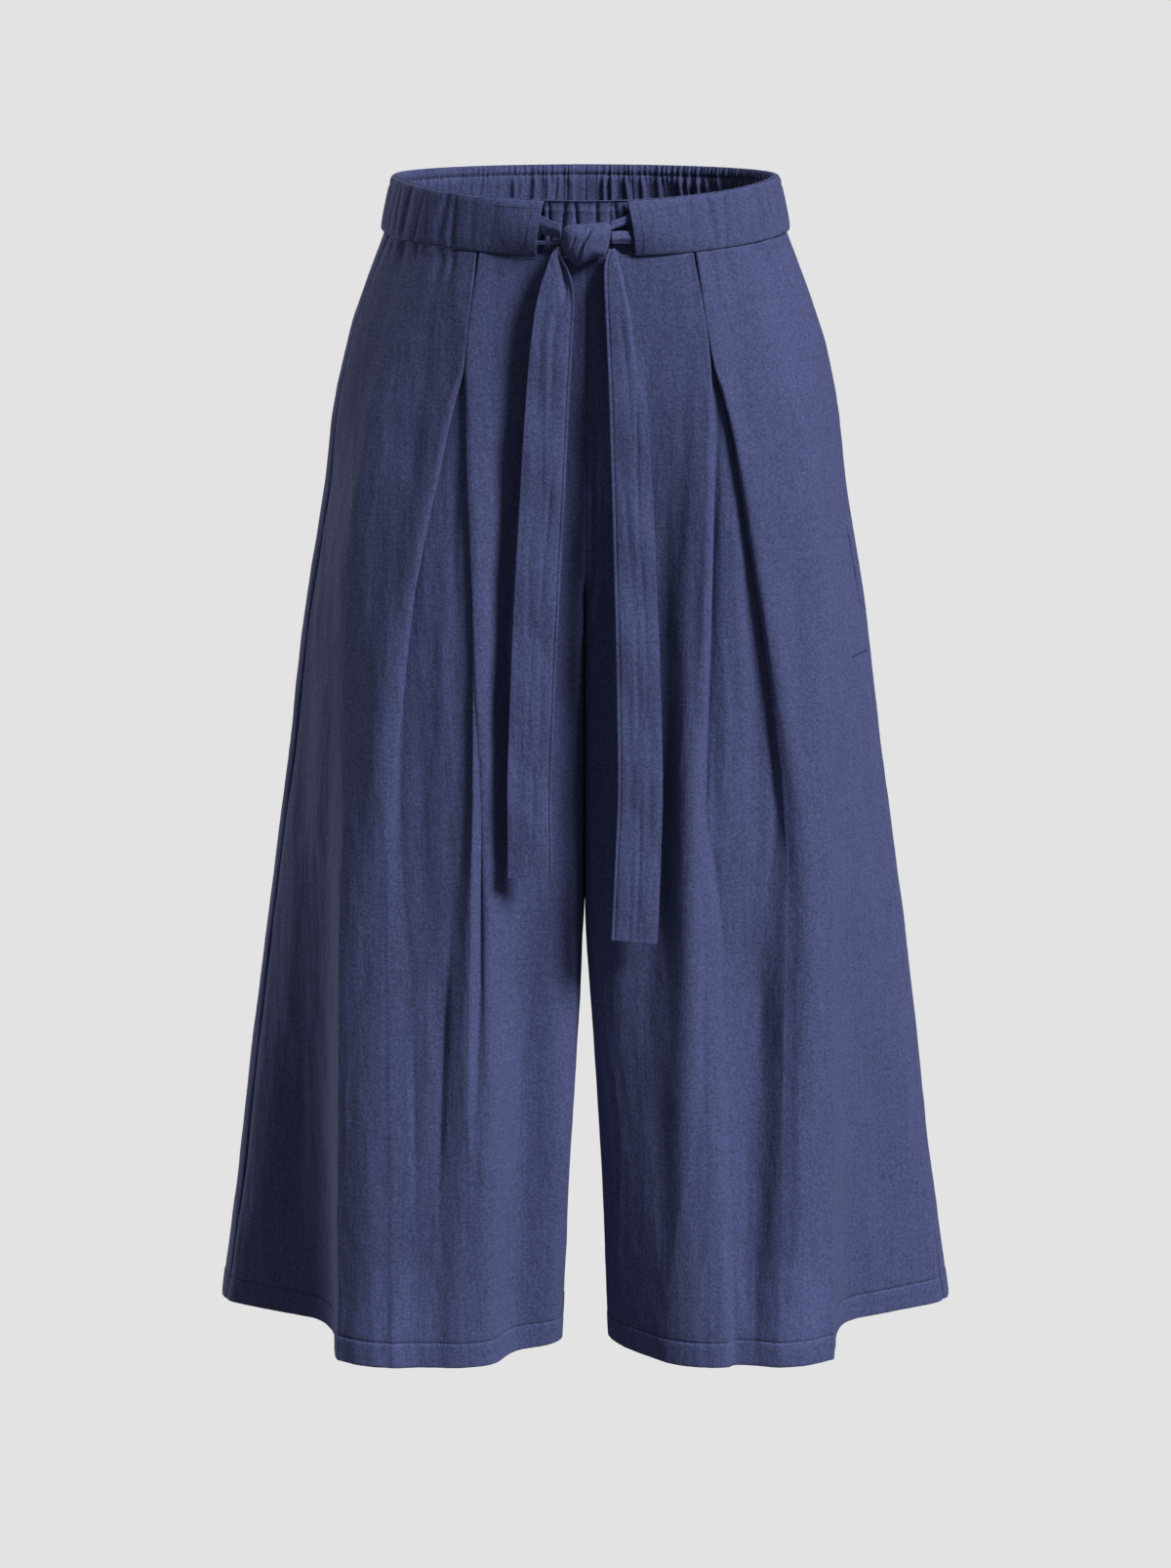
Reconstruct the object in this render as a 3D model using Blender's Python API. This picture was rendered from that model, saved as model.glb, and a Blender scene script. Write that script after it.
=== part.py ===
"""Cropped, very wide trousers in the hakama manner, filled out as if worn.

Two leg fronts with one deep inverted pleat each, two flared leg backs, a waistband in three casing pieces over one
gathered inner layer, and a tie that comes out of the casing, is knotted at the front and hangs down in two ends.

Metres. +X is the viewer's right, the front faces -Y, +Z is up. The origin is the middle of the waist opening, level
with the top edge of the waistband at the sides and back, where the wearer's waist holds the trousers up.
"""

from collections import namedtuple

import bmesh
import bpy
import numpy as np

# Driving sizes
CLOTH = 0.0012           # thickness of every cloth wall
SEAM = 0.0003            # gap between two pieces that are sewn together
TOP_WIDE = 0.1385        # half width of the waist opening
TOP_DEEP = 0.0985        # half depth of the waist opening
BAND_HEIGHT = 0.0385
FRONT_DIP = 0.0118       # the garment sits this much lower at the front than at the sides
HEM = 0.8480             # depth of the hem below the waist opening, at the side
CROTCH = 0.3250          # depth of the point where the two legs meet
FRONT_RISE_BEND = 0.2650  # the front seam bends back towards the crotch from here
BACK_RISE_BEND = 0.2150   # and the back seam forward from here
SIDE_ROLL = 0.0065       # the side seam lies this far inside the outline, rolled to the front
SIDE_LEAN = (0.42, 0.907)  # direction of the cloth across the side seam, seen from above
SIDE_SPAN = 0.0100       # straight cloth on each side of the side seam
RECESS_FLAT = 0.0320     # the front lies flat and sunk back this far out from its middle seam
RECESS_REACH = 0.0760    # the front sinks back from here to its middle seam
UNDER_LEAD = 0.0080      # straight cloth beside the folds of the layer under a pleat
TURN = 0.0300            # above its bend, a rise seam opens over this length from edge to edge to wall to wall
CORNER = 0.0220          # the inner front and back corners of a leg start to turn this far out
TIE_CLOTH = 0.0018       # the tie is a flat tube, two layers thick
OPENING_ANGLE = 13.6     # degrees from the middle to the end of a front casing piece
SIDE_ANGLE = 72.5        # degrees from the middle to the side seam of the waistband
BAND_STEP = 7.5          # degrees between the waistband's columns
CASING_LIFT = 0.0056     # the end of the casing stands out over the tie

# The plan of one leg at each depth below the waist opening, on the viewer's right.
# side: the outline. front and back: how far the cloth stands out. crown: where it stands out most, and reach: from
# there to where the front's curve would end. inner: the wall between the legs. ridge and foot: the fold that hangs
# from the hip, and step: how far the cloth drops back behind that fold. seam: how far forward the side seam lies.
# recess: how far the front sinks back towards its middle seam.
Level = namedtuple("Level", "down side front back crown reach inner ridge foot step seam recess")
LEVELS = (
    Level(0.0385, 0.1478, 0.1005, 0.1005, 0.000, 0.1478, 0.0008, 0.100, 0.112, 0.000, 0.030, 0.000),
    Level(0.0700, 0.1600, 0.1040, 0.1080, 0.000, 0.1605, 0.0008, 0.110, 0.124, 0.000, 0.030, 0.001),
    Level(0.1150, 0.1750, 0.1085, 0.1170, 0.000, 0.1790, 0.0008, 0.125, 0.140, 0.000, 0.030, 0.004),
    Level(0.1650, 0.1856, 0.1125, 0.1250, 0.003, 0.1950, 0.0008, 0.142, 0.155, 0.000, 0.030, 0.012),
    Level(0.2150, 0.1915, 0.1160, 0.1300, 0.010, 0.2010, 0.0008, 0.155, 0.166, 0.001, 0.030, 0.019),
    Level(0.3250, 0.2095, 0.1210, 0.1300, 0.030, 0.1930, 0.0008, 0.170, 0.178, 0.005, 0.029, 0.026),
    Level(0.4200, 0.2210, 0.1250, 0.1270, 0.055, 0.1730, 0.0009, 0.176, 0.184, 0.011, 0.025, 0.026),
    Level(0.5200, 0.2350, 0.1290, 0.1260, 0.075, 0.1570, 0.0012, 0.179, 0.186, 0.020, 0.019, 0.022),
    Level(0.6200, 0.2480, 0.1325, 0.1265, 0.091, 0.1430, 0.0068, 0.181, 0.187, 0.032, 0.013, 0.013),
    Level(0.7300, 0.2615, 0.1370, 0.1275, 0.105, 0.1300, 0.0138, 0.182, 0.187, 0.046, 0.007, 0.005),
    Level(0.8480, 0.2780, 0.1410, 0.1300, 0.117, 0.1220, 0.0185, 0.183, 0.187, 0.064, 0.002, 0.001),
)

# The inverted pleat in each front: its two folded edges on each leg, the cloth tucked under each edge, the depth of
# the layer that shows between them, and how softly the edges roll. Above 0.1165 the tuck is stitched shut.
Pleat = namedtuple("Pleat", "down inner_right outer_right inner_left outer_left tuck depth soft lead")
PLEATS = (
    Pleat(0.0385, 0.0757, 0.0791, 0.0749, 0.0783, 0.026, 0.0064, 0.000, 0.004),
    Pleat(0.1165, 0.0884, 0.0918, 0.0838, 0.0872, 0.026, 0.0064, 0.000, 0.004),
    Pleat(0.1400, 0.0903, 0.0985, 0.0848, 0.0918, 0.024, 0.0070, 0.000, 0.005),
    Pleat(0.1750, 0.0908, 0.1073, 0.0850, 0.0985, 0.022, 0.0085, 0.000, 0.006),
    Pleat(0.2240, 0.0911, 0.1160, 0.0848, 0.1083, 0.019, 0.0105, 0.001, 0.007),
    Pleat(0.2825, 0.0903, 0.1254, 0.0836, 0.1188, 0.014, 0.0130, 0.001, 0.009),
    Pleat(0.3500, 0.0880, 0.1365, 0.0810, 0.1290, 0.008, 0.0150, 0.002, 0.011),
    Pleat(0.4350, 0.0822, 0.1490, 0.0784, 0.1425, -0.004, 0.0155, 0.004, 0.014),
    Pleat(0.5200, 0.0800, 0.1560, 0.0782, 0.1535, -0.016, 0.0135, 0.006, 0.016),
    Pleat(0.6600, 0.0790, 0.1560, 0.0782, 0.1540, -0.022, 0.0110, 0.008, 0.016),
    Pleat(0.8480, 0.0790, 0.1560, 0.0785, 0.1540, -0.026, 0.0080, 0.009, 0.016),
)

# Soft folds down each back, from the side seam inwards: where they lie as a share of the way round, and how far they
# stand out (or in) at the hem of each leg.
BackFold = namedtuple("BackFold", "share right left")
BACK_FOLDS = (
    BackFold(0.06, 0.004, 0.005),
    BackFold(0.19, -0.015, -0.018),
    BackFold(0.33, 0.014, 0.013),
    BackFold(0.47, -0.014, -0.011),
    BackFold(0.61, 0.012, 0.014),
    BackFold(0.75, -0.010, -0.013),
    BackFold(0.89, 0.006, 0.007),
)
BACK_FOLD_START = 0.20   # depth where these folds begin

# The depths at which the leg panels are worked out.
FRONT_ROWS = (0.080, 0.1165, 0.140, 0.175, 0.220, 0.265, 0.295, 0.313, 0.322)
LEG_ROWS = (0.325, 0.380, 0.440, 0.520, 0.610, 0.720, 0.800)
BACK_ROWS = (0.075, 0.120, 0.165, 0.215, 0.270, 0.300, 0.316, 0.322)

# The two hanging ends of the tie: where the middle of the tape lies, half its width, and how far forward it hangs.
TapeRow = namedtuple("TapeRow", "down x half forward")
TIE_END_LEFT = (
    TapeRow(0.0425, -0.0182, 0.0016, 0.1075),
    TapeRow(0.0490, -0.0210, 0.0036, 0.1095),
    TapeRow(0.0595, -0.0200, 0.0081, 0.1110),
    TapeRow(0.0725, -0.0204, 0.0119, 0.1122),
    TapeRow(0.0900, -0.0221, 0.0140, 0.1130),
    TapeRow(0.1400, -0.0262, 0.0152, 0.1147),
    TapeRow(0.2100, -0.0302, 0.0158, 0.1170),
    TapeRow(0.2900, -0.0346, 0.0160, 0.1202),
    TapeRow(0.3700, -0.0382, 0.0159, 0.1235),
    TapeRow(0.4300, -0.0402, 0.0158, 0.1257),
    TapeRow(0.4920, -0.0398, 0.0158, 0.1272),
)
TIE_END_RIGHT = (
    TapeRow(0.0440, 0.0186, 0.0022, 0.1080),
    TapeRow(0.0560, 0.0205, 0.0072, 0.1108),
    TapeRow(0.0700, 0.0226, 0.0093, 0.1122),
    TapeRow(0.0890, 0.0253, 0.0112, 0.1130),
    TapeRow(0.1300, 0.0290, 0.0130, 0.1147),
    TapeRow(0.1950, 0.0322, 0.0140, 0.1172),
    TapeRow(0.2700, 0.0352, 0.0148, 0.1206),
    TapeRow(0.3500, 0.0378, 0.0155, 0.1240),
    TapeRow(0.4300, 0.0392, 0.0160, 0.1270),
    TapeRow(0.4900, 0.0372, 0.0164, 0.1286),
    TapeRow(0.5402, 0.0352, 0.0166, 0.1297),
)

# The bunched stretches of the tie between the casing and the knot: centre, height and thickness of the tape.
StrandRow = namedtuple("StrandRow", "x forward down tall thick")
STRANDS = {
    "tie_strand_left_upper": (
        StrandRow(-0.0430, 0.0957, 0.0262, 0.0150, 0.0020),
        StrandRow(-0.0340, 0.0978, 0.0274, 0.0140, 0.0026),
        StrandRow(-0.0250, 0.1007, 0.0300, 0.0115, 0.0040),
        StrandRow(-0.0176, 0.1060, 0.0326, 0.0095, 0.0052),
    ),
    "tie_strand_left_lower": (
        StrandRow(-0.0420, 0.0966, 0.0402, 0.0030, 0.0022),
        StrandRow(-0.0310, 0.0989, 0.0405, 0.0032, 0.0028),
        StrandRow(-0.0171, 0.1050, 0.0396, 0.0034, 0.0030),
    ),
    "tie_strand_right_upper": (
        StrandRow(0.0410, 0.0957, 0.0206, 0.0080, 0.0020),
        StrandRow(0.0330, 0.0976, 0.0230, 0.0072, 0.0026),
        StrandRow(0.0250, 0.1004, 0.0258, 0.0062, 0.0036),
        StrandRow(0.0180, 0.1060, 0.0280, 0.0058, 0.0044),
    ),
    "tie_strand_right_lower": (
        StrandRow(0.0430, 0.0964, 0.0362, 0.0084, 0.0020),
        StrandRow(0.0330, 0.0993, 0.0366, 0.0094, 0.0040),
        StrandRow(0.0250, 0.1016, 0.0364, 0.0092, 0.0060),
        StrandRow(0.0184, 0.1060, 0.0362, 0.0088, 0.0070),
    ),
}

# The knot's outline from the front, clockwise from its top left corner, and its rings from back to front.
KnotCorner = namedtuple("KnotCorner", "x down")
KNOT_OUTLINE = (
    KnotCorner(-0.0145, 0.0275),
    KnotCorner(0.0010, 0.0262),
    KnotCorner(0.0172, 0.0262),
    KnotCorner(0.0180, 0.0360),
    KnotCorner(0.0152, 0.0470),
    KnotCorner(0.0040, 0.0530),
    KnotCorner(-0.0050, 0.0548),
    KnotCorner(-0.0150, 0.0470),
    KnotCorner(-0.0172, 0.0370),
)
KnotRing = namedtuple("KnotRing", "forward share")
KNOT_RINGS = (
    KnotRing(0.1012, 0.62),
    KnotRing(0.1026, 0.86),
    KnotRing(0.1065, 1.00),
    KnotRing(0.1120, 0.97),
    KnotRing(0.1158, 0.80),
    KnotRing(0.1174, 0.48),
)

NAVY = (0.055, 0.066, 0.170, 1.0)
CLOTH_ROUGHNESS = 0.85


def slopes(depths, values):
    """The slope of each column at each row, level where a column turns, so that nothing overshoots its rows."""
    steps = np.diff(values, axis=0) / np.diff(depths)[:, None]
    before, after = steps[:-1], steps[1:]
    same_way = before * after > 0
    inner = np.where(same_way, 2 * before * after / np.where(same_way, before + after, 1), 0)
    return np.vstack([steps[:1], inner, steps[-1:]])


def between(rows, down):
    """The row of a table at this depth, with every column read smoothly between the rows above and below."""
    depths = np.array([row.down for row in rows])
    i = int(np.clip(np.searchsorted(depths, down) - 1, 0, len(rows) - 2))
    span = depths[i + 1] - depths[i]
    t = float(np.clip((down - depths[i]) / span, 0, 1))
    values = np.array(rows, float)
    slope = slopes(depths, values)
    start, end = values[i], values[i + 1]
    mixed = (
        (2 * t**3 - 3 * t**2 + 1) * start
        + (t**3 - 2 * t**2 + t) * span * slope[i]
        + (3 * t**2 - 2 * t**3) * end
        + (t**3 - t**2) * span * slope[i + 1]
    )
    return type(rows[0])(*mixed)


def ease(value, start, end):
    """0 up to start, 1 from end, and a smooth step between."""
    t = float(np.clip((value - start) / (end - start), 0, 1))
    return t * t * (3 - 2 * t)


def rounded(corners, tight):
    """A smooth line that starts at the first corner, ends at the last and cuts each of the others round.
    Tight corners get twice the points."""
    corners = np.array(corners, float)
    middles = (corners[:-1] + corners[1:]) / 2
    line = [corners[0]]
    for number, (corner, before, after) in enumerate(zip(corners[1:-1], middles[:-1], middles[1:]), 1):
        if number in tight:
            line.append(before)
        line.append((before + 2 * corner + after) / 4)
    line += [middles[-1], corners[-1]]
    return np.array(line)


def front_curve(level, x):
    """The front of a leg from above, before its folds, at x."""
    across = (x - level.crown) / level.reach
    return level.recess * (1 - ease(x, RECESS_FLAT, RECESS_REACH)) - level.front * np.sqrt(max(0.02, 1 - across**2))


def behind(level, x, depth):
    """A point this deep behind the front curve at x, square to the curve."""
    step = 0.001
    slope = (front_curve(level, x + step) - front_curve(level, x - step)) / (2 * step)
    length = np.hypot(1, slope)
    return (x - slope / length * depth, front_curve(level, x) + depth / length)


def rise(down, bend, stand_out):
    """How far from the middle the seam between the legs lies: all of stand_out above its bend, none at the crotch."""
    share = np.clip((down - bend) / (CROTCH - bend), 0, 1)
    return stand_out * np.sqrt(1 - share**2)


def inner_edge(down, level, bend, curve_y):
    """The inner edge of a panel and the two corners that turn the cloth from the inner wall to the front or back."""
    wall = ease(down, bend, CROTCH)
    corner = np.array((level.inner + 0.006 * (1 - wall), curve_y(level.inner + 0.006 * (1 - wall))))
    turned = ease(down, bend - TURN, bend)
    edge_x = level.inner * turned + SEAM / 2 * (1 - turned)
    side = np.sign(corner[1])
    edge_y = side * max(rise(down, bend, abs(curve_y(edge_x))), SEAM / 2)
    edge = np.array((edge_x, edge_y))
    outer = (level.inner + CORNER, curve_y(level.inner + CORNER))
    return [edge, corner + (edge - corner) / 3, corner, outer]


def side_seam(level):
    """The side seam from above, and the corners before and after it."""
    seam = np.array((level.side - SIDE_ROLL, -level.seam))
    along = np.array(SIDE_LEAN) * SIDE_SPAN
    return seam - along, seam, seam + along


def front_plan(down, leg):
    """The front panel from above, from its inner edge round the pleat and the hip fold to the side seam."""
    level = between(LEVELS, down)
    pleat = between(PLEATS, down)
    if leg == "right":
        inner, outer = pleat.inner_right, pleat.outer_right
    else:
        inner, outer = pleat.inner_left, pleat.outer_left
    corners = inner_edge(down, level, FRONT_RISE_BEND, lambda x: front_curve(level, x))
    half = pleat.depth / 2
    folded = max(0.0, pleat.tuck)
    spread = max(0.0, -pleat.tuck)
    lead = UNDER_LEAD - 0.18 * spread
    corners += [
        behind(level, inner - pleat.soft - pleat.lead, 0),
        behind(level, inner - pleat.soft, 0),
        behind(level, inner + pleat.soft, half),
        behind(level, inner - folded + 0.5 * spread, half),
        behind(level, inner - folded + 1.2 * spread, pleat.depth),
        behind(level, inner - folded + 1.2 * spread + lead, pleat.depth),
        behind(level, outer + folded - 1.2 * spread - lead, pleat.depth),
        behind(level, outer + folded - 1.2 * spread, pleat.depth),
        behind(level, outer + folded - 0.5 * spread, half),
        behind(level, outer - pleat.soft, half),
        behind(level, outer + pleat.soft, 0),
        behind(level, outer + pleat.soft + pleat.lead, 0),
    ]
    before_seam, seam, _ = side_seam(level)
    foot = np.array((level.foot, front_curve(level, level.foot) + level.step))
    corners += [
        behind(level, level.ridge, 0),
        foot,
        (foot + before_seam) / 2,
        before_seam,
        seam - SEAM / 2 * np.array(SIDE_LEAN),
    ]
    return rounded(corners, tight=(2, 5, 6, 7, 8, 11, 12, 13, 14, 16, 17))


def back_plan(down, leg):
    """The back panel from above, from the side seam over its soft folds to its inner edge."""
    level = between(LEVELS, down)
    reach = level.side - level.crown

    def curve_y(x):
        return level.back * np.sqrt(max(0.02, 1 - ((x - level.crown) / reach) ** 2))

    _, seam, after_seam = side_seam(level)
    last = np.arccos(np.clip((level.inner + CORNER - level.crown) / reach, -1, 1))
    grown = ease(down, BACK_FOLD_START, HEM + 0.1)
    corners = [seam + SEAM / 2 * np.array(SIDE_LEAN), after_seam]
    for fold in BACK_FOLDS:
        angle = last * fold.share + np.radians(9) * (1 - fold.share)
        out = 1 + getattr(fold, leg) * grown / level.back
        corners.append((level.crown + reach * np.cos(angle) * out, level.back * np.sin(angle) * out))
    corners += inner_edge(down, level, BACK_RISE_BEND, curve_y)[::-1]
    return rounded(corners, tight=range(len(corners)))


def dip(y, half_depth):
    """How much lower than the side the garment sits at this y."""
    return FRONT_DIP * (max(0.0, -y) / half_depth) ** 1.5


def material(name):
    """The navy cloth, with a name of its own for each piece."""
    made = bpy.data.materials.new(name)
    made.use_nodes = True
    shader = made.node_tree.nodes["Principled BSDF"]
    shader.inputs["Base Color"].default_value = NAVY
    shader.inputs["Roughness"].default_value = CLOTH_ROUGHNESS
    shader.inputs["Metallic"].default_value = 0.0
    return made


def add_object(name, points, faces):
    """One named object with its own material."""
    mesh = bpy.data.meshes.new(name)
    mesh.from_pydata([tuple(point) for point in points], [], faces)
    mesh.materials.append(material(name + "_cloth"))
    mesh.shade_smooth()
    made = bpy.data.objects.new(name, mesh)
    bpy.context.scene.collection.objects.link(made)
    return made


def cloth(name, grid, thickness=CLOTH, closed=False):
    """A cloth piece from its middle surface: a grid of points, thickened to both sides."""
    rows, columns = grid.shape[:2]
    last = columns if closed else columns - 1
    faces = []
    for r in range(rows - 1):
        for c in range(last):
            d = (c + 1) % columns
            faces.append((r * columns + c, r * columns + d, (r + 1) * columns + d, (r + 1) * columns + c))
    made = add_object(name, grid.reshape(-1, 3), faces)
    wall = made.modifiers.new("Wall", "SOLIDIFY")
    wall.thickness = thickness
    wall.offset = 0.0
    wall.use_even_offset = True
    wall.show_viewport = True
    wall.show_render = True
    return made


def loft(name, rings):
    """A closed solid through rings of points, with flat ends."""
    rings = np.array(rings)
    count, sides = rings.shape[:2]
    faces = [tuple(range(sides - 1, -1, -1))]
    for r in range(count - 1):
        for s in range(sides):
            t = (s + 1) % sides
            faces.append((r * sides + s, r * sides + t, (r + 1) * sides + t, (r + 1) * sides + s))
    faces.append(tuple(range((count - 1) * sides, count * sides)))
    made = add_object(name, rings.reshape(-1, 3), faces)
    shape = bmesh.new()
    shape.from_mesh(made.data)
    bmesh.ops.recalc_face_normals(shape, faces=shape.faces)
    shape.to_mesh(made.data)
    shape.free()
    return made


def leg_panel(name, plan, depths, leg):
    """A front or back leg panel, from its plan at each depth."""
    mirror = 1 if leg == "right" else -1
    rows = []
    for down in depths:
        level = between(LEVELS, down)
        rows.append([(mirror * x, y, -down - dip(y, level.front)) for x, y in plan(down, leg)])
    return cloth(name, np.array(rows))


def make_legs():
    """The four leg panels, each from just under the waistband to the hem."""
    top = BAND_HEIGHT + 2 * SEAM
    for leg in ("left", "right"):
        leg_panel("front_" + leg, front_plan, (top,) + FRONT_ROWS + LEG_ROWS + (HEM,), leg)
        leg_panel("back_" + leg, back_plan, (top,) + BACK_ROWS + LEG_ROWS + (HEM,), leg)


def band_point(angle, share, out):
    """A point of the waistband: angle from the front, share of the way down, and how far it stands out."""
    level = LEVELS[0]
    wide = TOP_WIDE + (level.side - TOP_WIDE) * share + out
    deep = TOP_DEEP + (level.front - TOP_DEEP) * share + out
    x, y = wide * np.sin(angle), -deep * np.cos(angle)
    return (x, y, -BAND_HEIGHT * share - dip(y, deep))


def casing(name, start, end):
    """A casing piece between two angles in degrees. Its ends at the front opening stand out over the tie."""
    steps = np.arange(-360, 360, BAND_STEP)
    turns = [start] + [step for step in steps if start + 1 < step < end - 1] + [end]
    rows = []
    for share in (0.0, 0.25, 0.6, 1.0):
        row = []
        for angle in np.radians(turns):
            near = 1 - ease(abs(np.degrees(angle)), OPENING_ANGLE, 2.4 * OPENING_ANGLE)
            lift = CASING_LIFT * near * np.sin(np.pi * (0.08 + 0.84 * share))
            row.append(band_point(angle, share, lift))
        rows.append(row)
    return cloth(name, np.array(rows))


def make_waistband():
    """The inner layer all round, and the casing over it, which leaves the middle of the front open."""
    inside = -(CLOTH + SEAM)
    angles = np.radians(np.arange(0, 360, BAND_STEP))
    ring = [[band_point(angle, share, inside) for angle in angles] for share in (0.0, 0.5, 1.0)]
    cloth("waistband_inner", np.array(ring), closed=True)
    gap = np.degrees(SEAM / 2 / TOP_DEEP)
    casing("waistband_front_right", OPENING_ANGLE, SIDE_ANGLE - gap)
    casing("waistband_front_left", -SIDE_ANGLE + gap, -OPENING_ANGLE)
    casing("waistband_back", SIDE_ANGLE + gap, 360 - SIDE_ANGLE - gap)


def make_tie():
    """The knot, the four bunched stretches that run into it and the two ends that hang from it."""
    for name, rows in STRANDS.items():
        rings = []
        for row in rows:
            ring = []
            for turn in np.radians(np.arange(0, 360, 45)):
                forward = row.forward + row.thick / 2 * np.cos(turn)
                ring.append((row.x, -forward, -row.down + row.tall / 2 * np.sin(turn)))
            rings.append(ring)
        loft(name, rings)
    middle = np.mean(np.array(KNOT_OUTLINE), axis=0)
    rings = []
    for ring in KNOT_RINGS:
        line = middle + (np.array(KNOT_OUTLINE) - middle) * ring.share
        rings.append([(x, -ring.forward, -down) for x, down in line])
    loft("tie_knot", rings)
    for name, rows in (("tie_end_left", TIE_END_LEFT), ("tie_end_right", TIE_END_RIGHT)):
        grid = []
        for row in rows:
            grid.append([(row.x + row.half * u, -row.forward, -row.down) for u in (-1, -0.33, 0.33, 1)])
        cloth(name, np.array(grid), thickness=TIE_CLOTH)


def main():
    for old in list(bpy.data.objects):
        bpy.data.objects.remove(old)
    make_legs()
    make_waistband()
    make_tie()


main()
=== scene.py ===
# %% [markdown]
# # Cropped wide-leg trousers with a tied waist, in the hakama manner
# The garment is cut from four leg panels, a waistband over elastic and one long tie. It is shown filled
# out, as if worn, with nobody in it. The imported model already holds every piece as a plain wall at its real
# size and place. This scene makes the cloth that is seen: for each piece a fine thin shell on the same
# form, with its folds, gathers, seams and stitches, and then a woven finish, a camera and soft light.

# %% The frame, and the tools used below
import math
import random
from collections import namedtuple

import bpy
import numpy as np
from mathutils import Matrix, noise


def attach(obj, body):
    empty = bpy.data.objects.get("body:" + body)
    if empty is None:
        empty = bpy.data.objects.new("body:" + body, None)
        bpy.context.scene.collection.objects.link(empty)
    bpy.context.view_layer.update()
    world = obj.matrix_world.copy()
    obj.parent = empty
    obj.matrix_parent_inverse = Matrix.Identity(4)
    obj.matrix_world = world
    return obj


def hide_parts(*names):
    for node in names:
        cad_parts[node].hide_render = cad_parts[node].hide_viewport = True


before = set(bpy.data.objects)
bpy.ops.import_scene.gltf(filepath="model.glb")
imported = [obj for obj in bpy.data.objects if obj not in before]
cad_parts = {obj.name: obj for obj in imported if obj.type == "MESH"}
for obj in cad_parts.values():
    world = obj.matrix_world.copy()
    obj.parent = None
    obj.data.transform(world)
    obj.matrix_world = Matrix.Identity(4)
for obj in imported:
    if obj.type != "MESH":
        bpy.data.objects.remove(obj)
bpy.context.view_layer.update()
print("nodes", sorted(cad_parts))

# %% [markdown]
# ## Sizes
# A pattern maker starts from a few measures: waist, length, rise and the width of the hem. All values are
# metres. +X is the viewer's right, the front faces -Y, and the origin is the middle of the waist opening,
# so that a depth below the waist is minus Z. The front sits a little lower than the sides, which the front
# dip gives.

# %% Driving sizes
CLOTH = 0.0008            # one layer of the cloth
SEAM = 0.0003             # gap between two pieces that are sewn together
TOP_WIDE = 0.1385         # half width of the waist opening
TOP_DEEP = 0.0985         # half depth of the waist opening
BAND_HEIGHT = 0.0385
BAND_INSIDE = 0.0015      # the inner layer of the band lies this far inside the casing
FRONT_DIP = 0.0118        # the garment sits this much lower at the front than at the sides
HEM = 0.8480              # depth of the hem below the waist opening, at the side
HEM_TURN = 0.0180         # the hem is turned up this far and stitched
ALLOWANCE = 0.0030        # the edges of the panels turn in this far at their seams
CROTCH = 0.3250           # depth of the point where the two legs meet
FRONT_RISE_BEND = 0.2650  # the front seam bends back towards the crotch from here
BACK_RISE_BEND = 0.2150   # and the back seam forward from here
SIDE_ROLL = 0.0065        # the side seam lies this far inside the outline, rolled to the front
SIDE_LEAN = np.array((0.42, 0.907))  # direction of the cloth across the side seam, seen from above
SIDE_SPAN = 0.0100        # straight cloth on each side of the side seam
RECESS_FLAT = 0.0320      # the front lies flat and sunk back this far out from its middle seam
RECESS_REACH = 0.0760     # the front sinks back from here to its middle seam
UNDER_LEAD = 0.0080       # straight cloth beside the folds of the layer under a pleat
RISE_EDGE = 0.00045       # the walls of two legs come this close to the middle at the bottom of the rise seam
TURN = 0.0300             # over this length above its bend, a rise seam turns from edges into walls
CORNER = 0.0160           # the inner front and back corners of a leg start to turn this far out
RISE_CORNER = 0.0060      # above the crotch, the inner corner lies this much further out
CROTCH_STEP = 0.0020      # the seam's edge changes from the rise to the leg within a few of these
FLATTEST = 0.02           # keeps the round front and back from turning quite square to the side
LEAD_LOSS = 0.18          # an opened pleat takes this share of its spread from its straight cloth
WALL_LEAN = 0.5           # how far the walls of an opened pleat lean at half depth, as a share of its spread
FOOT_LEAN = 1.2           # and at their foot
OPENING_ANGLE = 13.6      # degrees from the middle to the end of a front casing piece
OPENING_SLANT = 1.6       # at its top, that end comes this many degrees nearer to the middle
SIDE_ANGLE = 72.5         # degrees from the middle to the side seam of the waistband
CASING_LIFT = 0.0056      # the end of the casing stands out over the tie
PANEL_TOP = BAND_HEIGHT + 2 * SEAM
print("leg panels are", round((HEM - PANEL_TOP) * 1000), "mm long")

# %% [markdown]
# ## The cut, read from above
# Each row of these tables is a horizontal slice through one leg. A level says how far out the side is and
# how far the front and back stand out, where the front's round crown lies and how far it reaches, where the
# inner seam is, where the fold that hangs from the hip has its ridge and foot and how far the foot steps
# back, how far forward the side seam is rolled, and how far the front sinks back to its middle seam. A
# pleat has two folded edges and a depth on each leg, a tuck that goes on behind the edges (below zero the
# pleat stands open), how soft the edges are, and a lead of straight cloth beside them. A slice could be
# drawn as a curve by hand at every height, but a table of eleven rows read smoothly is easier to check and
# to change.

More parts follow.
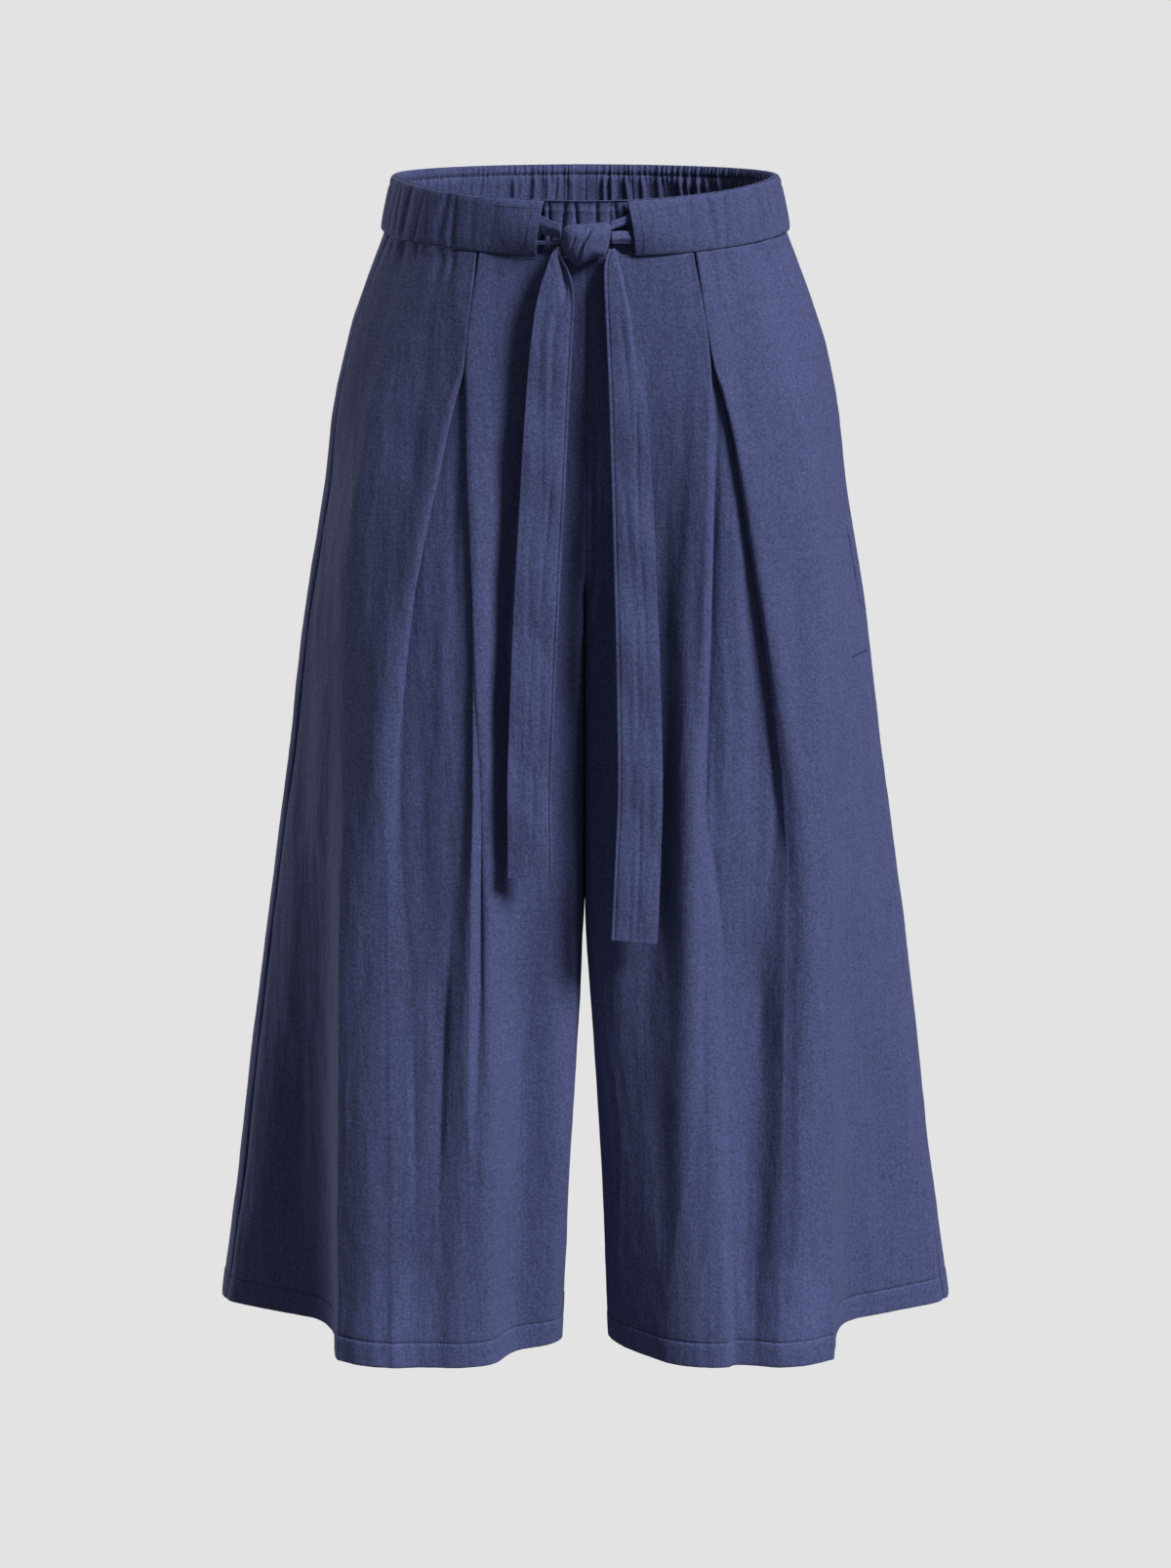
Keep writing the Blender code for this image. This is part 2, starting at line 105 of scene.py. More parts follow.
# %% The slices
Level = namedtuple("Level", "down side front back crown reach inner ridge foot step seam recess")
LEVELS = (
    Level(0.0385, 0.1478, 0.1005, 0.1005, 0.000, 0.1478, 0.0008, 0.100, 0.112, 0.000, 0.030, 0.000),
    Level(0.0700, 0.1600, 0.1040, 0.1080, 0.000, 0.1605, 0.0008, 0.110, 0.124, 0.000, 0.030, 0.005),
    Level(0.1150, 0.1750, 0.1085, 0.1170, 0.000, 0.1790, 0.0008, 0.125, 0.140, 0.000, 0.030, 0.012),
    Level(0.1650, 0.1856, 0.1125, 0.1250, 0.003, 0.1950, 0.0008, 0.142, 0.155, 0.000, 0.030, 0.020),
    Level(0.2150, 0.1915, 0.1160, 0.1300, 0.010, 0.2010, 0.0008, 0.155, 0.166, 0.001, 0.030, 0.027),
    Level(0.3250, 0.2095, 0.1210, 0.1300, 0.030, 0.1930, 0.0008, 0.170, 0.178, 0.005, 0.029, 0.034),
    Level(0.4200, 0.2210, 0.1250, 0.1270, 0.055, 0.1730, 0.0009, 0.176, 0.184, 0.011, 0.025, 0.033),
    Level(0.5200, 0.2350, 0.1290, 0.1260, 0.075, 0.1570, 0.0012, 0.179, 0.186, 0.020, 0.019, 0.028),
    Level(0.6200, 0.2480, 0.1325, 0.1265, 0.091, 0.1430, 0.0068, 0.181, 0.187, 0.032, 0.013, 0.017),
    Level(0.7300, 0.2615, 0.1370, 0.1275, 0.105, 0.1300, 0.0138, 0.182, 0.187, 0.046, 0.007, 0.007),
    Level(0.8480, 0.2780, 0.1410, 0.1300, 0.117, 0.1220, 0.0185, 0.183, 0.187, 0.064, 0.002, 0.001),
)
Pleat = namedtuple(
    "Pleat", "down inner_right outer_right depth_right inner_left outer_left depth_left tuck soft lead"
)
PLEATS = (
    Pleat(0.0385, 0.0766, 0.0783, 0.0064, 0.0757, 0.0774, 0.0064, 0.016, 0.000, 0.0022),
    Pleat(0.1165, 0.0891, 0.0910, 0.0064, 0.0845, 0.0864, 0.0060, 0.012, 0.000, 0.0022),
    Pleat(0.1400, 0.0903, 0.0985, 0.0068, 0.0848, 0.0930, 0.0052, 0.006, 0.000, 0.004),
    Pleat(0.1750, 0.0908, 0.1070, 0.0080, 0.0850, 0.1012, 0.0048, 0.005, 0.000, 0.006),
    Pleat(0.2240, 0.0911, 0.1160, 0.0095, 0.0838, 0.1128, 0.0050, 0.004, 0.001, 0.007),
    Pleat(0.2825, 0.0903, 0.1254, 0.0115, 0.0814, 0.1246, 0.0056, 0.004, 0.001, 0.009),
    Pleat(0.3500, 0.0880, 0.1365, 0.0135, 0.0797, 0.1328, 0.0070, 0.002, 0.002, 0.011),
    Pleat(0.4350, 0.0822, 0.1490, 0.0150, 0.0784, 0.1435, 0.0095, -0.004, 0.004, 0.014),
    Pleat(0.5200, 0.0800, 0.1560, 0.0150, 0.0782, 0.1535, 0.0115, -0.016, 0.006, 0.016),
    Pleat(0.6600, 0.0790, 0.1560, 0.0125, 0.0782, 0.1540, 0.0110, -0.022, 0.008, 0.016),
    Pleat(0.8480, 0.0790, 0.1560, 0.0085, 0.0785, 0.1540, 0.0080, -0.026, 0.009, 0.016),
)
BackFold = namedtuple("BackFold", "share right left")
BACK_FOLDS = (
    BackFold(0.06, 0.004, 0.005),
    BackFold(0.19, -0.015, -0.018),
    BackFold(0.33, 0.014, 0.013),
    BackFold(0.47, -0.014, -0.011),
    BackFold(0.61, 0.012, 0.014),
    BackFold(0.75, -0.010, -0.013),
    BackFold(0.89, 0.006, 0.007),
)
BACK_FOLD_START = 0.20    # depth where the folds down the back begin
BACK_FOLD_FULL = HEM + 0.1  # and where they would be full
BACK_SIDE = 9             # degrees from the side where the folds of the back begin
print(len(LEVELS), "levels,", len(PLEATS), "pleat slices,", len(BACK_FOLDS), "folds in the back")

# %% [markdown]
# ## Reading the tables smoothly
# Between two rows a straight blend would leave a kink at every row, and cloth has none. A cubic that is
# level wherever a column turns passes through all rows and never overshoots them. Numpy reads all the
# depths of a panel in one go.

# %% Smooth reading
def slopes(depths, values):
    """The slope of each column at each row, level where a column turns, so that nothing overshoots."""
    steps = np.diff(values, axis=0) / np.diff(depths)[:, None]
    before, after = steps[:-1], steps[1:]
    same_way = before * after > 0
    inner = np.where(same_way, 2 * before * after / np.where(same_way, before + after, 1), 0)
    return np.vstack([steps[:1], inner, steps[-1:]])


def between(rows, downs, key="down"):
    """Every column of a table at each of these depths, or values of another column that only grows."""
    depths = np.array([getattr(row, key) for row in rows])
    values = np.array(rows, float)
    slope = slopes(depths, values)
    i = np.clip(np.searchsorted(depths, downs) - 1, 0, len(rows) - 2)
    span = (depths[i + 1] - depths[i])[:, None]
    t = np.clip((downs - depths[i])[:, None] / span, 0, 1)
    mixed = (
        (2 * t**3 - 3 * t**2 + 1) * values[i]
        + (t**3 - 2 * t**2 + t) * span * slope[i]
        + (3 * t**2 - 2 * t**3) * values[i + 1]
        + (t**3 - t**2) * span * slope[i + 1]
    )
    return type(rows[0])(*mixed.T)


def ease(value, start, end):
    """0 up to start, 1 from end, and a smooth step between."""
    t = np.clip((value - start) / (end - start), 0, 1)
    return t * t * (3 - 2 * t)


def bell(value, width):
    """A round bump: 1 where the value is 0, and almost nothing two widths away on both sides."""
    return np.exp(-((value / width) ** 2))


print("half width 0.30 m down:", between(LEVELS, np.array([0.30])).side.round(4))

# %% [markdown]
# ## One slice of a front and of a back
# Seen from above, a front panel runs from the seam between the legs, round to the front, under itself and
# out again at the pleat, over the fold that hangs from the hip and back to the side seam. Its corners are
# listed here in that order. A quadratic B-spline then cuts every corner round, so the folds get soft or
# crisp as their corners lie far or close.

# %% Slices as corners
def front_curve(level, x):
    """The front of a leg from above, before its folds, at x."""
    round_front = -level.front * np.sqrt(np.maximum(FLATTEST, 1 - ((x - level.crown) / level.reach) ** 2))
    return round_front + level.recess * (1 - ease(x, RECESS_FLAT, RECESS_REACH))


def points(x, y):
    """Coordinates side by side, one pair for each depth."""
    return np.stack(np.broadcast_arrays(x, y), axis=-1)


def behind(level, x, depth):
    """A point this deep behind the front curve at x, square to the curve."""
    step = 0.001
    slope = (front_curve(level, x + step) - front_curve(level, x - step)) / (2 * step)
    length = np.hypot(1, slope)
    return points(x - slope / length * depth, front_curve(level, x) + depth / length)


def inner_edge(downs, level, bend, curve_y):
    """The inner edge of a panel and the corners that turn its cloth from the inner wall to the outside."""
    corner_x = level.inner + RISE_CORNER * (1 - ease(downs, bend, CROTCH))
    corner = points(corner_x, curve_y(corner_x))
    turned = ease(downs, bend - TURN, bend)
    on_leg = ease(downs, CROTCH - CROTCH_STEP, CROTCH + 2 * CROTCH_STEP)
    edge_x = (level.inner * on_leg + RISE_EDGE * (1 - on_leg)) * turned + SEAM / 2 * (1 - turned)
    share = np.clip((downs - bend) / (CROTCH - bend), 0, 1)
    rise = np.abs(curve_y(edge_x)) * np.sqrt(1 - share**2)
    edge = points(edge_x, np.sign(corner[:, 1]) * np.maximum(rise, SEAM / 2))
    turned_x = level.inner + CORNER
    return [edge, corner + (edge - corner) / 3, corner, points(turned_x, curve_y(turned_x))]


def side_seam(level):
    """The side seam from above, and the corners before and after it."""
    seam = points(level.side - SIDE_ROLL, -level.seam)
    return seam - SIDE_LEAN * SIDE_SPAN, seam, seam + SIDE_LEAN * SIDE_SPAN


def front_corners(downs, leg):
    """The front panel's corners, from its inner edge round the pleat and the hip fold to the side seam."""
    level = between(LEVELS, downs)
    pleat = between(PLEATS, downs)
    inner, outer = getattr(pleat, "inner_" + leg), getattr(pleat, "outer_" + leg)
    depth = getattr(pleat, "depth_" + leg)
    half = depth / 2
    folded, spread_out = np.maximum(0, pleat.tuck), np.maximum(0, -pleat.tuck)
    lead = UNDER_LEAD - LEAD_LOSS * spread_out
    inner_wall, outer_wall = inner - folded + WALL_LEAN * spread_out, outer + folded - WALL_LEAN * spread_out
    inner_foot, outer_foot = inner - folded + FOOT_LEAN * spread_out, outer + folded - FOOT_LEAN * spread_out
    before_seam, seam, _ = side_seam(level)
    foot = points(level.foot, front_curve(level, level.foot) + level.step)
    corners = inner_edge(downs, level, FRONT_RISE_BEND, lambda x: front_curve(level, x)) + [
        behind(level, inner - pleat.soft - pleat.lead, 0),
        behind(level, inner - pleat.soft, 0),
        behind(level, inner + pleat.soft, half),
        behind(level, inner_wall, half),
        behind(level, inner_foot, depth),
        behind(level, inner_foot + lead, depth),
        behind(level, outer_foot - lead, depth),
        behind(level, outer_foot, depth),
        behind(level, outer_wall, half),
        behind(level, outer - pleat.soft, half),
        behind(level, outer + pleat.soft, 0),
        behind(level, outer + pleat.soft + pleat.lead, 0),
        behind(level, level.ridge, 0),
        foot,
        (foot + before_seam) / 2,
        before_seam,
        seam - SEAM / 2 * SIDE_LEAN,
    ]
    return np.stack(corners, axis=1), level


def back_corners(downs, leg):
    """The back panel's corners, from the side seam over its soft folds to its inner edge."""
    level = between(LEVELS, downs)
    reach = level.side - level.crown

    def curve_y(x):
        return level.back * np.sqrt(np.maximum(FLATTEST, 1 - ((x - level.crown) / reach) ** 2))

    _, seam, after_seam = side_seam(level)
    last = np.arccos(np.clip((level.inner + CORNER - level.crown) / reach, -1, 1))
    grown = ease(downs, BACK_FOLD_START, BACK_FOLD_FULL)
    corners = [seam + SEAM / 2 * SIDE_LEAN, after_seam]
    for fold in BACK_FOLDS:
        angle = last * fold.share + np.radians(BACK_SIDE) * (1 - fold.share)
        out = 1 + getattr(fold, leg) * grown / level.back
        corners.append(points(level.crown + reach * np.cos(angle) * out, level.back * np.sin(angle) * out))
    corners += inner_edge(downs, level, BACK_RISE_BEND, curve_y)[::-1]
    return np.stack(corners, axis=1), level


at_crotch = np.array([CROTCH])
print("corners of a slice:", *[cut(at_crotch, "right")[0].shape[1] for cut in (front_corners, back_corners)])

# %% [markdown]
# ## From corners to a fine surface
# A station is a place along a slice, counted in corners from the panel's first edge, where it is 0. Columns
# are spaced by station, close together at the folded edges and wider over plain cloth, so each column
# follows one fold all the way down. The small push that turns this plain form into cloth comes later and
# goes along the surface's own normal.

# %% The surface of a panel
def along_corners(corners, stations):
    """Points of the quadratic B-spline through these corners, at each station."""
    last = corners.shape[1] - 1
    middles = (corners[:, :-1] + corners[:, 1:]) / 2
    columns = []
    for station in stations:
        if station < 0.5:
            columns.append(corners[:, 0] + (corners[:, 1] - corners[:, 0]) * station)
        elif station > last - 0.5:
            columns.append(corners[:, last] + (corners[:, last - 1] - corners[:, last]) * (last - station))
        else:
            i = min(int(station + 0.5), last - 1)
            t = station - i + 0.5
            bent = (1 - t) ** 2 * middles[:, i - 1] + 2 * t * (1 - t) * corners[:, i] + t**2 * middles[:, i]
            columns.append(bent)
    return np.stack(columns, axis=1)


def dip(y, half_depth):
    """How much lower than the side the garment sits at this y."""
    return FRONT_DIP * (np.maximum(0.0, -y) / half_depth) ** 1.5


def panel_form(corners_at, stations, downs, leg):
    """The plain form of a leg panel: a grid of points, rows down and columns across."""
    corners, level = corners_at(downs, leg)
    flat = along_corners(corners, stations)
    x, y = flat[..., 0], flat[..., 1]
    mirror = 1 if leg == "right" else -1
    return np.stack([mirror * x, y, -downs[:, None] - dip(y, level.front[:, None])], axis=-1)


def outwards(corners_at, stations, downs, leg, form):
    """The unit normal of the form at each point, away from the leg."""
    step = 0.0005
    down_way = panel_form(corners_at, stations, downs + step, leg) - form
    across = np.gradient(form, axis=1)
    normal = np.cross(down_way, across) * (1 if leg == "right" else -1)
    return normal / np.linalg.norm(normal, axis=-1, keepdims=True).clip(1e-12)


def spread(*zones):
    """Places one after another: each zone gives its end and how many steps lead there from the last one."""
    places = [zones[0]]
    for end, count in zones[1:]:
        places += list(np.linspace(places[-1], end, count + 1)[1:])
    return np.array(places)


FRONT_STATIONS = spread(
    0.0, (0.05, 3), (0.5, 5), (1.5, 9), (2.5, 10), (3.5, 18), (4.5, 18), (5.5, 7), (6.5, 9), (7.5, 5),
    (8.5, 5), (9.5, 14), (10.5, 14), (11.5, 5), (12.5, 5), (13.5, 9), (14.5, 7), (15.5, 14), (16.5, 16),
    (17.5, 10), (18.5, 14), (19.5, 10), (19.88, 4), (20.0, 4),
)
BACK_STATIONS = spread(
    0.0, (0.12, 4), (0.5, 4), (1.5, 8), (2.5, 14), (3.5, 14), (4.5, 14), (5.5, 14), (6.5, 14), (7.5, 14),
    (8.5, 14), (9.5, 12), (10.5, 8), (11.5, 8), (11.95, 4), (12.0, 3),
)
DOWNS = spread(
    PANEL_TOP, (0.042, 5), (0.050, 4), (0.106, 16), (0.150, 18), (HEM - HEM_TURN - 0.002, 120),
    (HEM - HEM_TURN + 0.002, 8), (HEM - 0.002, 4), (HEM, 3),
)
TURNED_UP = spread(HEM, (HEM - 0.001, 1), (HEM - HEM_TURN, 4))
print("front", len(DOWNS), "rows of", len(FRONT_STATIONS), "points; back", len(BACK_STATIONS))

# %% [markdown]
# ## Creases
# Washed linen and cotton never hangs quite smooth. The main creases are listed one by one: each one has a
# line on the leg, a width, a depth (below zero is a trough, above a ridge) and a bow. A crease is strongest
# in its middle and fades at both ends. Which layer it is on matters, because at the pleat two layers lie at
# the same x: inner is the cloth beside the middle seam, under and pleat lie between the folded edges, outer
# hangs over them, and side runs on to the side seam.

# %% Creases one by one
Crease = namedtuple("Crease", "layer top x_top bottom x_bottom width depth bow")
LAYERS = {  # the stations that each layer of a panel takes up
    "inner": (2.0, 5.6), "under": (8.2, 10.8), "pleat": (8.0, 13.2), "outer": (13.4, 17.2),
    "side": (16.8, 21), "back": (-1, 13),
}
LAYER_FADE = 0.4          # stations over which a crease fades at the edges of its layer
FRONT_CREASES = {
    "right": (
        Crease("inner", 0.120, 0.048, 0.640, 0.047, 0.0140, -0.0060, 0.004),
        Crease("inner", 0.150, 0.073, 0.620, 0.070, 0.0070, 0.0010, 0.000),
        Crease("inner", 0.120, 0.070, 0.300, 0.061, 0.0050, -0.0012, 0.003),
        Crease("inner", 0.150, 0.056, 0.330, 0.049, 0.0060, 0.0010, -0.002),
        Crease("inner", 0.210, 0.079, 0.420, 0.072, 0.0070, -0.0016, 0.002),
        Crease("inner", 0.330, 0.060, 0.560, 0.055, 0.0080, -0.0018, -0.004),
        Crease("inner", 0.420, 0.082, 0.700, 0.070, 0.0100, 0.0020, 0.003),
        Crease("inner", 0.600, 0.052, 0.800, 0.058, 0.0110, -0.0022, 0.000),
        Crease("inner", 0.030, 0.026, 0.760, 0.029, 0.0160, 0.0090, 0.000),
        Crease("under", 0.090, 0.092, 0.620, 0.090, 0.0052, -0.0030, 0.002),
        Crease("under", 0.080, 0.0958, 0.640, 0.0795, 0.0024, -0.0036, 0.0015),
        Crease("pleat", 0.460, 0.122, 0.940, 0.106, 0.0190, -0.0110, 0.008),
        Crease("under", 0.200, 0.107, 0.420, 0.116, 0.0050, 0.0015, -0.002),
        Crease("under", 0.260, 0.094, 0.470, 0.098, 0.0060, 0.0012, 0.003),
        Crease("under", 0.300, 0.118, 0.520, 0.124, 0.0070, -0.0018, 0.002),
        Crease("under", 0.500, 0.108, 0.720, 0.112, 0.0100, -0.0020, -0.004),
        Crease("under", 0.540, 0.128, 0.740, 0.143, 0.0080, -0.0026, 0.003),
        Crease("outer", 0.060, 0.100, 0.200, 0.116, 0.0070, -0.0010, 0.002),
        Crease("outer", 0.230, 0.142, 0.420, 0.156, 0.0080, -0.0016, 0.003),
        Crease("outer", 0.380, 0.160, 0.640, 0.168, 0.0090, 0.0016, -0.002),
        Crease("side", 0.280, 0.196, 0.500, 0.214, 0.0060, 0.0014, 0.003),
        Crease("side", 0.420, 0.206, 0.640, 0.222, 0.0090, -0.0020, 0.002),
        Crease("side", 0.600, 0.216, 0.820, 0.226, 0.0110, -0.0024, -0.003),
    ),
    "left": (
        Crease("inner", 0.120, 0.057, 0.480, 0.053, 0.0140, -0.0060, 0.000),
        Crease("inner", 0.330, 0.078, 0.700, 0.075, 0.0150, -0.0080, 0.000),
        Crease("inner", 0.330, 0.045, 1.120, 0.043, 0.0170, -0.0130, 0.000),
        Crease("inner", 0.460, 0.020, 1.120, 0.028, 0.0130, 0.0045, 0.000),
        Crease("inner", 0.110, 0.066, 0.280, 0.060, 0.0060, 0.0010, 0.002),
        Crease("inner", 0.180, 0.078, 0.400, 0.074, 0.0060, -0.0012, -0.002),
        Crease("inner", 0.300, 0.058, 0.520, 0.054, 0.0090, -0.0018, 0.003),
        Crease("inner", 0.420, 0.079, 0.740, 0.078, 0.0090, -0.0022, 0.001),
        Crease("inner", 0.560, 0.048, 0.780, 0.052, 0.0100, 0.0020, 0.002),
        Crease("under", 0.170, 0.090, 0.330, 0.092, 0.0040, -0.0012, 0.002),
        Crease("under", 0.240, 0.102, 0.440, 0.106, 0.0060, 0.0014, -0.002),
        Crease("under", 0.360, 0.114, 0.560, 0.116, 0.0070, -0.0016, 0.003),
        Crease("under", 0.520, 0.098, 0.760, 0.102, 0.0110, -0.0022, 0.002),
        Crease("under", 0.580, 0.132, 0.800, 0.138, 0.0100, -0.0020, -0.003),
        Crease("outer", 0.090, 0.0930, 0.560, 0.176, 0.0140, 0.0020, 0.000),
        Crease("outer", 0.080, 0.108, 0.240, 0.128, 0.0080, -0.0012, 0.002),
        Crease("outer", 0.260, 0.138, 0.460, 0.152, 0.0080, 0.0014, 0.003),
        Crease("outer", 0.420, 0.158, 0.680, 0.166, 0.0090, -0.0018, -0.002),
        Crease("side", 0.300, 0.194, 0.520, 0.210, 0.0070, -0.0014, 0.003),
        Crease("side", 0.440, 0.208, 0.700, 0.222, 0.0090, 0.0016, 0.002),
        Crease("side", 0.620, 0.212, 0.830, 0.224, 0.0110, -0.0024, -0.002),
    ),
}
BACK_CREASES = {
    "right": (
        Crease("back", 0.100, 0.060, 0.300, 0.050, 0.0080, -0.0018, 0.004),
        Crease("back", 0.140, 0.110, 0.380, 0.104, 0.0090, -0.0020, -0.003),
        Crease("back", 0.180, 0.030, 0.330, 0.012, 0.0090, -0.0024, 0.004),
        Crease("back", 0.260, 0.084, 0.560, 0.090, 0.0110, 0.0022, 0.005),
        Crease("back", 0.340, 0.150, 0.640, 0.168, 0.0100, -0.0024, 0.003),
        Crease("back", 0.480, 0.050, 0.800, 0.046, 0.0120, -0.0024, -0.004),
    ),
    "left": (
        Crease("back", 0.090, 0.074, 0.280, 0.062, 0.0090, -0.0018, -0.004),
        Crease("back", 0.160, 0.124, 0.400, 0.128, 0.0090, -0.0020, 0.003),
        Crease("back", 0.190, 0.026, 0.340, 0.010, 0.0090, -0.0022, -0.003),
        Crease("back", 0.300, 0.070, 0.580, 0.078, 0.0110, -0.0022, 0.004),
        Crease("back", 0.380, 0.146, 0.700, 0.170, 0.0110, 0.0022, -0.004),
        Crease("back", 0.520, 0.104, 0.820, 0.112, 0.0120, -0.0026, 0.003),
    ),
}


def creased(creases, stations, x, down):
    """How far all the creases push each point out."""
    push = np.zeros_like(x)
    for crease in creases:
        along = (down - crease.top) / (crease.bottom - crease.top)
        middle = crease.x_top + (crease.x_bottom - crease.x_top) * along
        middle = middle + 4 * crease.bow * along * (1 - along)
        first, last = LAYERS[crease.layer]
        there = ease(stations, first - LAYER_FADE, first) * (1 - ease(stations, last, last + LAYER_FADE))
        faded = ease(along, 0, 0.35) * (1 - ease(along, 0.6, 1))
        push += crease.depth * bell(x - middle, crease.width) * faded * there
    return push


print("creases:", {leg: len(FRONT_CREASES[leg]) + len(BACK_CREASES[leg]) for leg in FRONT_CREASES})

# %% [markdown]
# ## Crumple
# Between the main creases the cloth is full of small ones that nobody would place one by one. Noise
# stretched down the leg makes them long and upright, and folding the noise at zero gives thin soft ridges
# instead of round hills.

# %% Crumple by noise
def crumple(form, across, down, seed):
    """Noise between -1 and 1 at each point, this fine across and down the cloth, in waves for each metre."""
    flat = form.reshape(-1, 3) * (across, across, down) + seed
    return np.array([noise.noise(point) for point in flat]).reshape(form.shape[:2])


def crumpled(form, seed):
    """How far the small creases push each point out."""
    broad = crumple(form, 26, 5, seed)
    ridges = 1 - np.abs(crumple(form, 46, 9, seed + 20)) * 2
    fine = 1 - np.abs(crumple(form, 95, 20, seed + 40)) * 2
    return 0.0013 * broad + 0.0006 * ridges.clip(0) ** 2 + 0.0003 * fine.clip(0) ** 2


# %% [markdown]
# ## Gathers
# Elastic shortens the band, so its cloth stands in upright gathers: a narrow valley, a round puff, the next
# valley. A valley has an angle round the waist (0 is the front), a depth and a width. The ones that show
# beside and in the front opening are listed one by one, and the rest of the ring is filled by a loop whose
# random draws have a fixed seed.

# %% Gathers round the waist
Valley = namedtuple("Valley", "angle depth width")


def ring_of_valleys(start, end, pitch, depth, width, seed):
    """Valleys between two angles, about this many degrees apart."""
    draw = random.Random(seed)
    valleys = []
    angle = start
    while angle < end:
        valleys.append(Valley(angle, depth * draw.uniform(0.35, 1.25), width * draw.uniform(0.7, 1.3)))
        angle += pitch * draw.uniform(0.55, 1.5)
    return valleys


def beside_patch(pitch, depth, width, seeds):
    """Valleys of the inner layer on both sides of the patch in the middle of the back."""
    valleys = []
    for (start, end), seed in zip(BESIDE_PATCH, seeds):
        valleys += ring_of_valleys(start, end, pitch, depth, width, seed)
    return valleys


BESIDE_PATCH = ((16, 176.5), (184, 344))
MEAN_RADIUS = 0.125       # turns an angle round the waist into a length
LEAN_TURN = 2.4           # radians from one valley's lean to the next one's
CASING_VALLEYS = [
    Valley(31.0, 0.0008, 0.0024), Valley(38.2, 0.0013, 0.0026), Valley(43.3, 0.0014, 0.0028),
    Valley(48.5, 0.0007, 0.0022), Valley(54.0, 0.0006, 0.0020), Valley(59.5, 0.0024, 0.0040),
    Valley(66.0, 0.0012, 0.0026),
    Valley(-27.0, 0.0004, 0.0020), Valley(-34.0, 0.0005, 0.0022), Valley(-40.6, 0.0017, 0.0022),
    Valley(-45.0, 0.0018, 0.0034), Valley(-51.5, 0.0010, 0.0026), Valley(-55.5, 0.0013, 0.0024),
    Valley(-62.5, 0.0019, 0.0036), Valley(-68.0, 0.0009, 0.0022),
] + ring_of_valleys(71, 289, 4.3, 0.0015, 0.0024, seed=3)
INNER_VALLEYS = [
    Valley(-13.0, 0.0030, 0.0016), Valley(-10.4, 0.0020, 0.0012), Valley(-6.8, 0.0030, 0.0018),
    Valley(-2.4, 0.0026, 0.0015), Valley(3.2, 0.0028, 0.0016), Valley(7.1, 0.0022, 0.0013),
    Valley(9.4, 0.0028, 0.0014), Valley(12.0, 0.0026, 0.0015),
] + beside_patch(3.6, 0.0026, 0.0017, seeds=(11, 12))
FINE_VALLEYS = beside_patch(1.7, 0.0015, 0.0009, seeds=(21, 22))


def gathered(valleys, degrees, widen=1.0, lean=0.0):
    """How far these valleys sink the cloth at each angle. lean turns each by up to this many degrees."""
    sunk = np.zeros(np.broadcast(degrees, widen, lean).shape)
    for number, valley in enumerate(valleys):
        away = (degrees - valley.angle - lean * math.sin(LEAN_TURN * number) + 180) % 360 - 180
        arc = np.radians(away) * MEAN_RADIUS
        sunk += valley.depth * bell(arc, valley.width * widen)
    return sunk


print(len(CASING_VALLEYS), "gathers in the casing,", len(INNER_VALLEYS), "in the inner layer")

# %% [markdown]
# ## Making a piece
# Every piece of cloth goes through the same door: a grid of points becomes a mesh, a Solidify modifier
# gives it the thickness of the cloth, and the calls to the frame say which body it rides on, which plain
# solid it stands for and which finish it takes. Keeping them together means that no piece can miss one.

# %% A piece of cloth from a grid
made = {}


def mesh_object(name, vertices, faces):
    """A smooth shaded mesh object in the scene."""
    mesh = bpy.data.meshes.new(name)
    mesh.from_pydata(vertices, [], faces)
    mesh.shade_smooth()
    piece = bpy.data.objects.new(name, mesh)
    bpy.context.scene.collection.objects.link(piece)
    return piece


def grid_faces(rows, columns, closed):
    """The four-sided faces of a grid, in rows, joined round if it is closed."""
    r, c = np.meshgrid(np.arange(rows - 1), np.arange(columns if closed else columns - 1), indexing="ij")
    upper, lower = r * columns, (r + 1) * columns
    after = (c + 1) % columns
    faces = np.stack([upper + c, upper + after, lower + after, lower + c], axis=-1)
    return faces.reshape(-1, 4).tolist()


def belongs(piece, slot, node=None):
    """Ties a piece to the one body of the garment, to its finish and to the solid that it stands for."""
    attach(piece, "root")
    if node:
        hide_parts(node)
    made[piece.name] = (piece, slot)


def cloth_piece(name, grid, slot, thickness=CLOTH, closed=False):
    """A shell of cloth that stands for the solid of the same name."""
    rows, columns = grid.shape[:2]
    piece = mesh_object(name + "_cloth", grid.reshape(-1, 3).tolist(), grid_faces(rows, columns, closed))
    wall = piece.modifiers.new("Wall", "SOLIDIFY")
    wall.thickness = thickness
    wall.offset = 0.0
    wall.use_even_offset = False
    belongs(piece, slot, name)
    print(name, rows * columns, "points")
    return piece


# %% [markdown]
# ## Stitches
# A lockstitch shows as a row of short dashes that sink into the cloth at both ends. A dashed texture would
# look painted from close by, so each dash is a thin five-sided thread that rises a little in its middle.
# All the dashes of one row are joined in one mesh, because there are thousands.

# %% Rows of stitches
STITCH = 0.0015           # length of a stitch
STITCH_GAP = 0.0008
THREAD = 0.00058          # thickness of the thread
THREAD_SIDES = 5
FIRST_STITCH = 0.001      # a row of stitches starts this far from the end of its line
StitchRing = namedtuple("StitchRing", "share rise thick")  # along the stitch; in thicknesses of the thread
STITCH_RINGS = (
    StitchRing(0.00, -0.60, 0.5),
    StitchRing(0.25, 0.35, 1.0),
    StitchRing(0.75, 0.35, 1.0),
    StitchRing(1.00, -0.60, 0.5),
)


